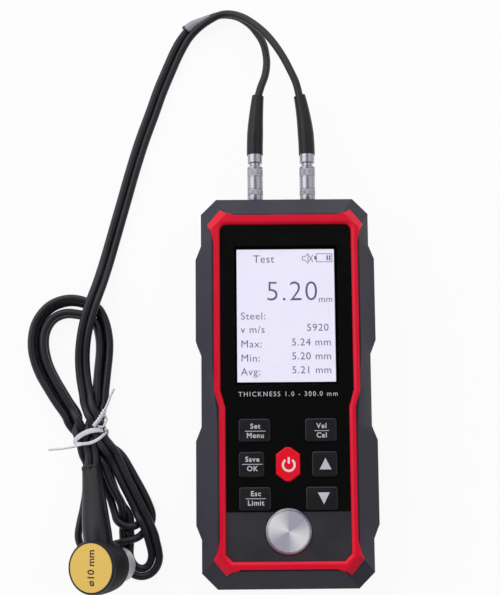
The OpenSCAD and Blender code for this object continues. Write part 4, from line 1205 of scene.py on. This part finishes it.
twist_path = [(-78, -12.8, 8.8), (-76.4, -10.9, 9), (-75.1, -8.9, 8.8), (-73.9, -6.5, 8)]
end_up = [(-73.9, -6.5, 8), (-73, -4.4, 7.2), (-71.7, -0.7, 6.2), (-70.3, 2.5, 5.6)]
end_left = [(-81, -19.9, 8.3), (-84.5, -20.7, 8), (-88.1, -21.4, 7.6), (-92.3, -21.9, 6.6),
            (-96.8, -22.2, 5.6)]
loop_right = [(-76.4, -13, 8.6), (-74.4, -13.1, 8.6), (-73.5, -11.7, 8.6), (-73, -10.1, 8),
              (-73.5, -8.8, 8.2), (-74.6, -8.4, 8.6)]
tie_pieces = [
    tie_turn("tie_upper_turn", 0.7, 2.0),
    tie_turn("tie_lower_turn", 0.35, -2.6),
    tie_wire("tie_twist_one", twisted(twist_path, 3, WIRE_R, 0.0)),
    tie_wire("tie_twist_two", twisted(twist_path, 3, WIRE_R, math.pi)),
    tie_wire("tie_end_up", end_up),
    tie_wire("tie_end_left", end_left),
    tie_wire("tie_loop_right", loop_right, 0.45),
]
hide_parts("twist_tie")
print("tie pieces:", len(tie_pieces))

# %% [markdown]
# ## Printing on the keys, panel and probe
# The words are plain and general: what each key does, the range, and a reading. Each word is a text
# curve made into a mesh, laid a hair above its surface, and it rides with the key that carries it.
# Signs are small flat meshes. These helpers make both.

# %% Helpers for words and signs
HAIR = 0.015


def words(name, text, size, place, material, body="gauge", align="CENTER", weight=0.0, matrix=None,
          turn=0.0, spacing=1.0):
    """A line of lettering; size and place in mm, laid flat or in a given frame."""
    data = bpy.data.curves.new(name, "FONT")
    data.body = text
    data.size = size * MM
    data.align_x = align
    data.align_y = "CENTER"
    data.offset = weight * MM
    data.space_character = spacing
    data.resolution_u = 4
    data.extrude = 0.5 * HAIR * MM
    mesh = mesh_from_curve(data)
    mesh.transform(Matrix.Translation(Vector(place) * MM) @ Matrix.Rotation(turn, 4, "Z"))
    if matrix is not None:
        mesh.transform(matrix)
    return finish_piece(name, mesh, material, body)


def sign(name, bm, place, material, body="gauge"):
    """A small printed shape, given in mm about its own middle."""
    bmesh.ops.scale(bm, vec=(MM, MM, MM), verts=bm.verts[:])
    bmesh.ops.translate(bm, vec=Vector(place) * MM, verts=bm.verts[:])
    mesh = mesh_of(name, bm, False)
    return finish_piece(name, mesh, material, body)


def bar_shape(bm, low, high):
    """Adds a flat bar between two corners."""
    made = bmesh.ops.create_grid(bm, x_segments=1, y_segments=1, size=0.5)["verts"]
    bmesh.ops.scale(bm, vec=(high[0] - low[0], high[1] - low[1], 1), verts=made)
    bmesh.ops.translate(bm, vec=((low[0] + high[0]) / 2, (low[1] + high[1]) / 2, 0), verts=made)


def key_middle(key):
    """Middle of a key's top, in mm."""
    low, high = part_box("key_" + key)
    return Vector(((low.x + high.x) / 2, (low.y + high.y) / 2, high.z)) / MM


print("printing lies", HAIR, "mm above its surface")

# %% [markdown]
# ## Key legends
# Four keys have two words with a rule between them, two have an arrow, and the red key has the usual
# power sign. A circle of three points is a triangle, and a short line spun through part of a turn is an
# open ring. All of them ride on their key, so they go down with it.

# %% Key legends
LEGEND_SIZE = 2.75
HALF_RULE = 0.12
# Key, its two words, the width of the rule and how far the legend is off the key's middle, in mm.
LEGENDS = (("menu", "Set", "Menu", 8.0, -0.3), ("cal", "Vel", "Cal", 5.6, -0.3),
           ("save", "Save", "OK", 8.0, 0.1), ("back", "Esc", "Limit", 7.8, 0.1))
for key, upper, lower, rule_w, off in LEGENDS:
    middle = key_middle(key) + Vector((0.3, off, HAIR))
    for line, text, rise in (("upper", upper, 1.85), ("lower", lower, -1.75)):
        words("print_" + key + "_" + line, text, LEGEND_SIZE, middle + Vector((0, rise, 0)), print_pale,
              key + "_key", weight=0.06, spacing=1.15)
    rule = bmesh.new()
    bar_shape(rule, (-rule_w / 2, -HALF_RULE), (rule_w / 2, HALF_RULE))
    sign("print_" + key + "_rule", rule, middle, print_pale, key + "_key")

for key, angle, right, rise in (("up", 0, 0.3, -0.6), ("down", math.pi, 0.75, 0.8)):
    arrow = bmesh.new()
    made = bmesh.ops.create_circle(arrow, cap_ends=True, segments=3, radius=2.5)["verts"]
    bmesh.ops.rotate(arrow, cent=(0, 0, 0), matrix=Matrix.Rotation(angle, 3, "Z"), verts=made)
    bmesh.ops.scale(arrow, vec=(1.07, 1.2, 1), verts=made)
    middle = key_middle(key) + Vector((right, rise, HAIR))
    sign("print_arrow_" + key, arrow, middle, print_pale, key + "_key")

HALF_GAP = 0.6
ring = bmesh.new()
outwards = Vector((math.sin(HALF_GAP), math.cos(HALF_GAP), 0))
start = ring.verts.new(outwards * 1.85)
end = ring.verts.new(outwards * 2.7)
edge = ring.edges.new((start, end))
bmesh.ops.spin(ring, geom=[start, end, edge], axis=(0, 0, -1), cent=(0, 0, 0), dvec=(0, 0, 0),
               angle=math.tau - 2 * HALF_GAP, steps=36, use_merge=False, use_duplicate=False)
bar_shape(ring, (-0.4, 0.5), (0.4, 3.0))
middle = key_middle("power") + Vector((0.25, -0.25, HAIR))
sign("print_power_sign", ring, middle, print_bright, "power_key")

# %% [markdown]
# ## Panel and label
# The panel says what the gauge measures, under its display. The label on the probe gives the width of
# the contact face, and its words are laid in the probe's own leaning frame.

# %% Panel and label
panel_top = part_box("front_panel")[1].z / MM
words("print_range", "THICKNESS 1.0 - 300.0 mm", 2.6, (0.4, -2.0, panel_top + HAIR), print_pale,
      spacing=1.3)
words("print_on_label", "ø10 mm", 4.2, (0.2, 0, TIP_LEN + BARREL_LEN + HAIR), print_black,
      matrix=probe_matrix, turn=math.radians(90), weight=0.08)

# %% [markdown]
# ## The reading on the display
# The display shows a large reading with its unit, then lines for the sound velocity and the largest,
# smallest and mean values. All of it lies on the display module, a little below the clear window.

# %% Display
screen_low, screen_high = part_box("display_window")
SCREEN_LEFT = screen_low.x / MM + 1.0
SCREEN_TOP = screen_high.y / MM - 1.0
SCREEN_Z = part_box("lcd_module")[1].z / MM + HAIR


def on_screen(right, down):
    """A place on the display, measured from its top left corner in mm."""
    return Vector((SCREEN_LEFT + right, SCREEN_TOP - down, SCREEN_Z))


for name, text, size, right, down, align in (
        ("mode", "Test", 4.3, 6.6, 4.1, "LEFT"),
        ("reading", "5.20", 11.2, 11.4, 17.3, "LEFT"),
        ("unit", "mm", 3.6, 35.2, 20.3, "CENTER"),
        ("stuff", "Steel:", 4.1, 1.4, 26.9, "LEFT"),
        ("speed", "5920", 4.1, 36.3, 31.6, "RIGHT"),
        ("speed_name", "v m/s", 4.1, 1.4, 32.3, "LEFT"),
        ("max_name", "Max:", 4.1, 1.4, 38.0, "LEFT"),
        ("max", "5.24 mm", 4.1, 37.2, 37.4, "RIGHT"),
        ("min_name", "Min:", 4.1, 1.4, 43.6, "LEFT"),
        ("min", "5.20 mm", 4.1, 37.2, 42.9, "RIGHT"),
        ("mean_name", "Avg:", 4.1, 1.4, 49.0, "LEFT"),
        ("mean", "5.21 mm", 4.1, 37.2, 48.4, "RIGHT")):
    thin = -0.12 if name == "reading" else 0.0
    words("screen_" + name, text, size, on_screen(right, down), screen_ink, align=align, weight=thin,
          spacing=1.1)

# %% [markdown]
# ## Signs on the display
# The battery is an outline, a cap and two bars of charge. The muted loudspeaker is drawn with eight thin
# strokes, and each stroke is a small grid that is stretched, turned and moved to its place.

# %% Signs on the display
STROKE = 0.25
battery = bmesh.new()
for low, high in (((-3.2, 1.5), (3.2, 1.75)), ((-3.2, -1.75), (3.2, -1.5)), ((-3.2, -1.5), (-2.95, 1.5)),
                  ((2.95, -1.5), (3.2, 1.5)), ((-3.9, -0.7), (-3.2, 0.7)), ((0.9, -1.0), (1.5, 1.0)),
                  ((1.9, -1.0), (2.5, 1.0))):
    bar_shape(battery, low, high)
sign("screen_battery", battery, on_screen(34.9, 3.6), screen_ink)
speaker = bmesh.new()
for length, angle, middle in ((1.4, 90, (-2.0, 0)), (1.1, 0, (-1.5, 0.7)), (1.1, 0, (-1.5, -0.7)),
                              (1.9, 45, (-0.4, 1.3)), (1.9, -45, (-0.4, -1.3)), (3.9, 90, (0.3, 0)),
                              (3.2, 60, (1.4, 0)), (3.2, -60, (1.4, 0))):
    stroke = bmesh.ops.create_grid(speaker, x_segments=1, y_segments=1, size=0.5)["verts"]
    bmesh.ops.scale(speaker, vec=(length, STROKE, 1), verts=stroke)
    turn = Matrix.Rotation(math.radians(angle), 3, "Z")
    bmesh.ops.rotate(speaker, cent=(0, 0, 0), matrix=turn, verts=stroke)
    bmesh.ops.translate(speaker, vec=(*middle, 0), verts=stroke)
sign("screen_speaker", speaker, on_screen(28.2, 3.8), screen_ink)

# %% [markdown]
# ## The leads end to end
# Both leads are seen from end to end, so their length is that of their curves. They go back into the
# object at the probe.

# %% [markdown]
# ## Floor
# The photo is a cut-out on plain white, with hardly a shadow. A real floor would turn grey, so a Light
# Path node tells rays apart: to the camera, in reflections and through the window the floor is almost
# plain white, and to all other rays it is a white surface that throws light back.

# %% Floor
FLOOR_WHITE = 0.92
FLOOR_HALF_SIZE = 3.0
FLOOR_Z = -0.2 * MM


def build_floor():
    """A white floor that looks plain white and keeps a faint shadow."""
    material, shader = new_finish("studio_white")
    tree = material.node_tree
    made = place_group(material, grain, Colour=tint(245, 245, 246), Fleck=tint(250, 250, 250), Scale=40.0,
                       Depth=0.0, Rough_low=0.8, Rough_high=0.9)
    tree.links.new(made.outputs["Colour"], shader.inputs["Base Color"])
    tree.links.new(made.outputs["Roughness"], shader.inputs["Roughness"])
    shader.inputs["Specular IOR Level"].default_value = 0.0
    plain = tree.nodes.new("ShaderNodeEmission")
    plain.inputs["Strength"].default_value = 1.0
    ray = tree.nodes.new("ShaderNodeLightPath")
    seen = arithmetic(tree, "MAXIMUM", ray.outputs["Is Camera Ray"], ray.outputs["Is Glossy Ray"])
    seen = arithmetic(tree, "MAXIMUM", seen, ray.outputs["Is Transmission Ray"])
    blend = tree.nodes.new("ShaderNodeMixShader")
    tree.links.new(arithmetic(tree, "MULTIPLY", seen, FLOOR_WHITE), blend.inputs[0])
    tree.links.new(shader.outputs[0], blend.inputs[1])
    tree.links.new(plain.outputs[0], blend.inputs[2])
    tree.links.new(blend.outputs[0], tree.nodes["Material Output"].inputs["Surface"])
    bm = bmesh.new()
    bmesh.ops.create_grid(bm, x_segments=1, y_segments=1, size=FLOOR_HALF_SIZE)
    bmesh.ops.translate(bm, vec=(0, 0, FLOOR_Z), verts=bm.verts[:])
    mesh = mesh_of("studio_floor", bm, False)
    mesh.materials.append(material)
    floor = bpy.data.objects.new("studio_floor", mesh)
    scene.collection.objects.link(floor)


build_floor()
print("floor at z =", FLOOR_Z / MM, "mm")

# %% [markdown]
# ## Light
# The light is soft and comes mostly from the top left of the picture. The sky is weak overhead, or the
# flat black panel would mirror it into the camera. Three large lamps beside the gauge give soft
# highlights, and their size keeps their mirror image in the window faint.

# %% Light
LIT_PLACE = Vector((-0.02, 0.0, 0.0))
SKY_TOWARDS = (-0.5, 0.86, 0.0)
SKY_LOW = 0.2
SKY_HIGH = 0.9
SKY_OVERHEAD = 0.05


def lamp(name, place, size, power):
    """A large square lamp that points at the gauge."""
    data = bpy.data.lights.new(name, "AREA")
    data.size = size
    data.energy = power
    made = bpy.data.objects.new(name, data)
    made.location = place
    made.rotation_euler = (LIT_PLACE - Vector(place)).to_track_quat("-Z", "Y").to_euler()
    scene.collection.objects.link(made)


def build_world():
    """White light, strongest at the top left and weak overhead, and plain white to the camera."""
    world = bpy.data.worlds.new("studio_world")
    world.use_nodes = True
    tree = world.node_tree
    direction = tree.nodes.new("ShaderNodeTexCoord").outputs["Generated"]
    towards = tree.nodes.new("ShaderNodeVectorMath")
    towards.operation = "DOT_PRODUCT"
    towards.inputs[1].default_value = SKY_TOWARDS
    tree.links.new(direction, towards.inputs[0])
    at_side = spread(tree, towards.outputs["Value"], SKY_LOW, SKY_HIGH, (-0.8, 0.8))
    falling = spread(tree, part_of(tree, direction, "Z"), at_side, SKY_OVERHEAD, (0.85, 0.97))
    ray = tree.nodes.new("ShaderNodeLightPath")
    strength = spread(tree, ray.outputs["Is Camera Ray"], falling, 1.0, (0.0, 1.0))
    plain = tree.nodes["Background"]
    plain.inputs["Color"].default_value = (1.0, 1.0, 1.0, 1.0)
    tree.links.new(strength, plain.inputs["Strength"])
    return world


scene.world = build_world()
lamp("lamp_left", (-0.9, 0.5, 0.9), 1.2, 5.0)
lamp("lamp_right", (0.9, 0.1, 0.8), 1.1, 1.7)
lamp("lamp_top", (0.0, 0.9, 0.7), 1.2, 3.3)
scene.view_settings.view_transform = "Standard"

bpy.context.view_layer.update()
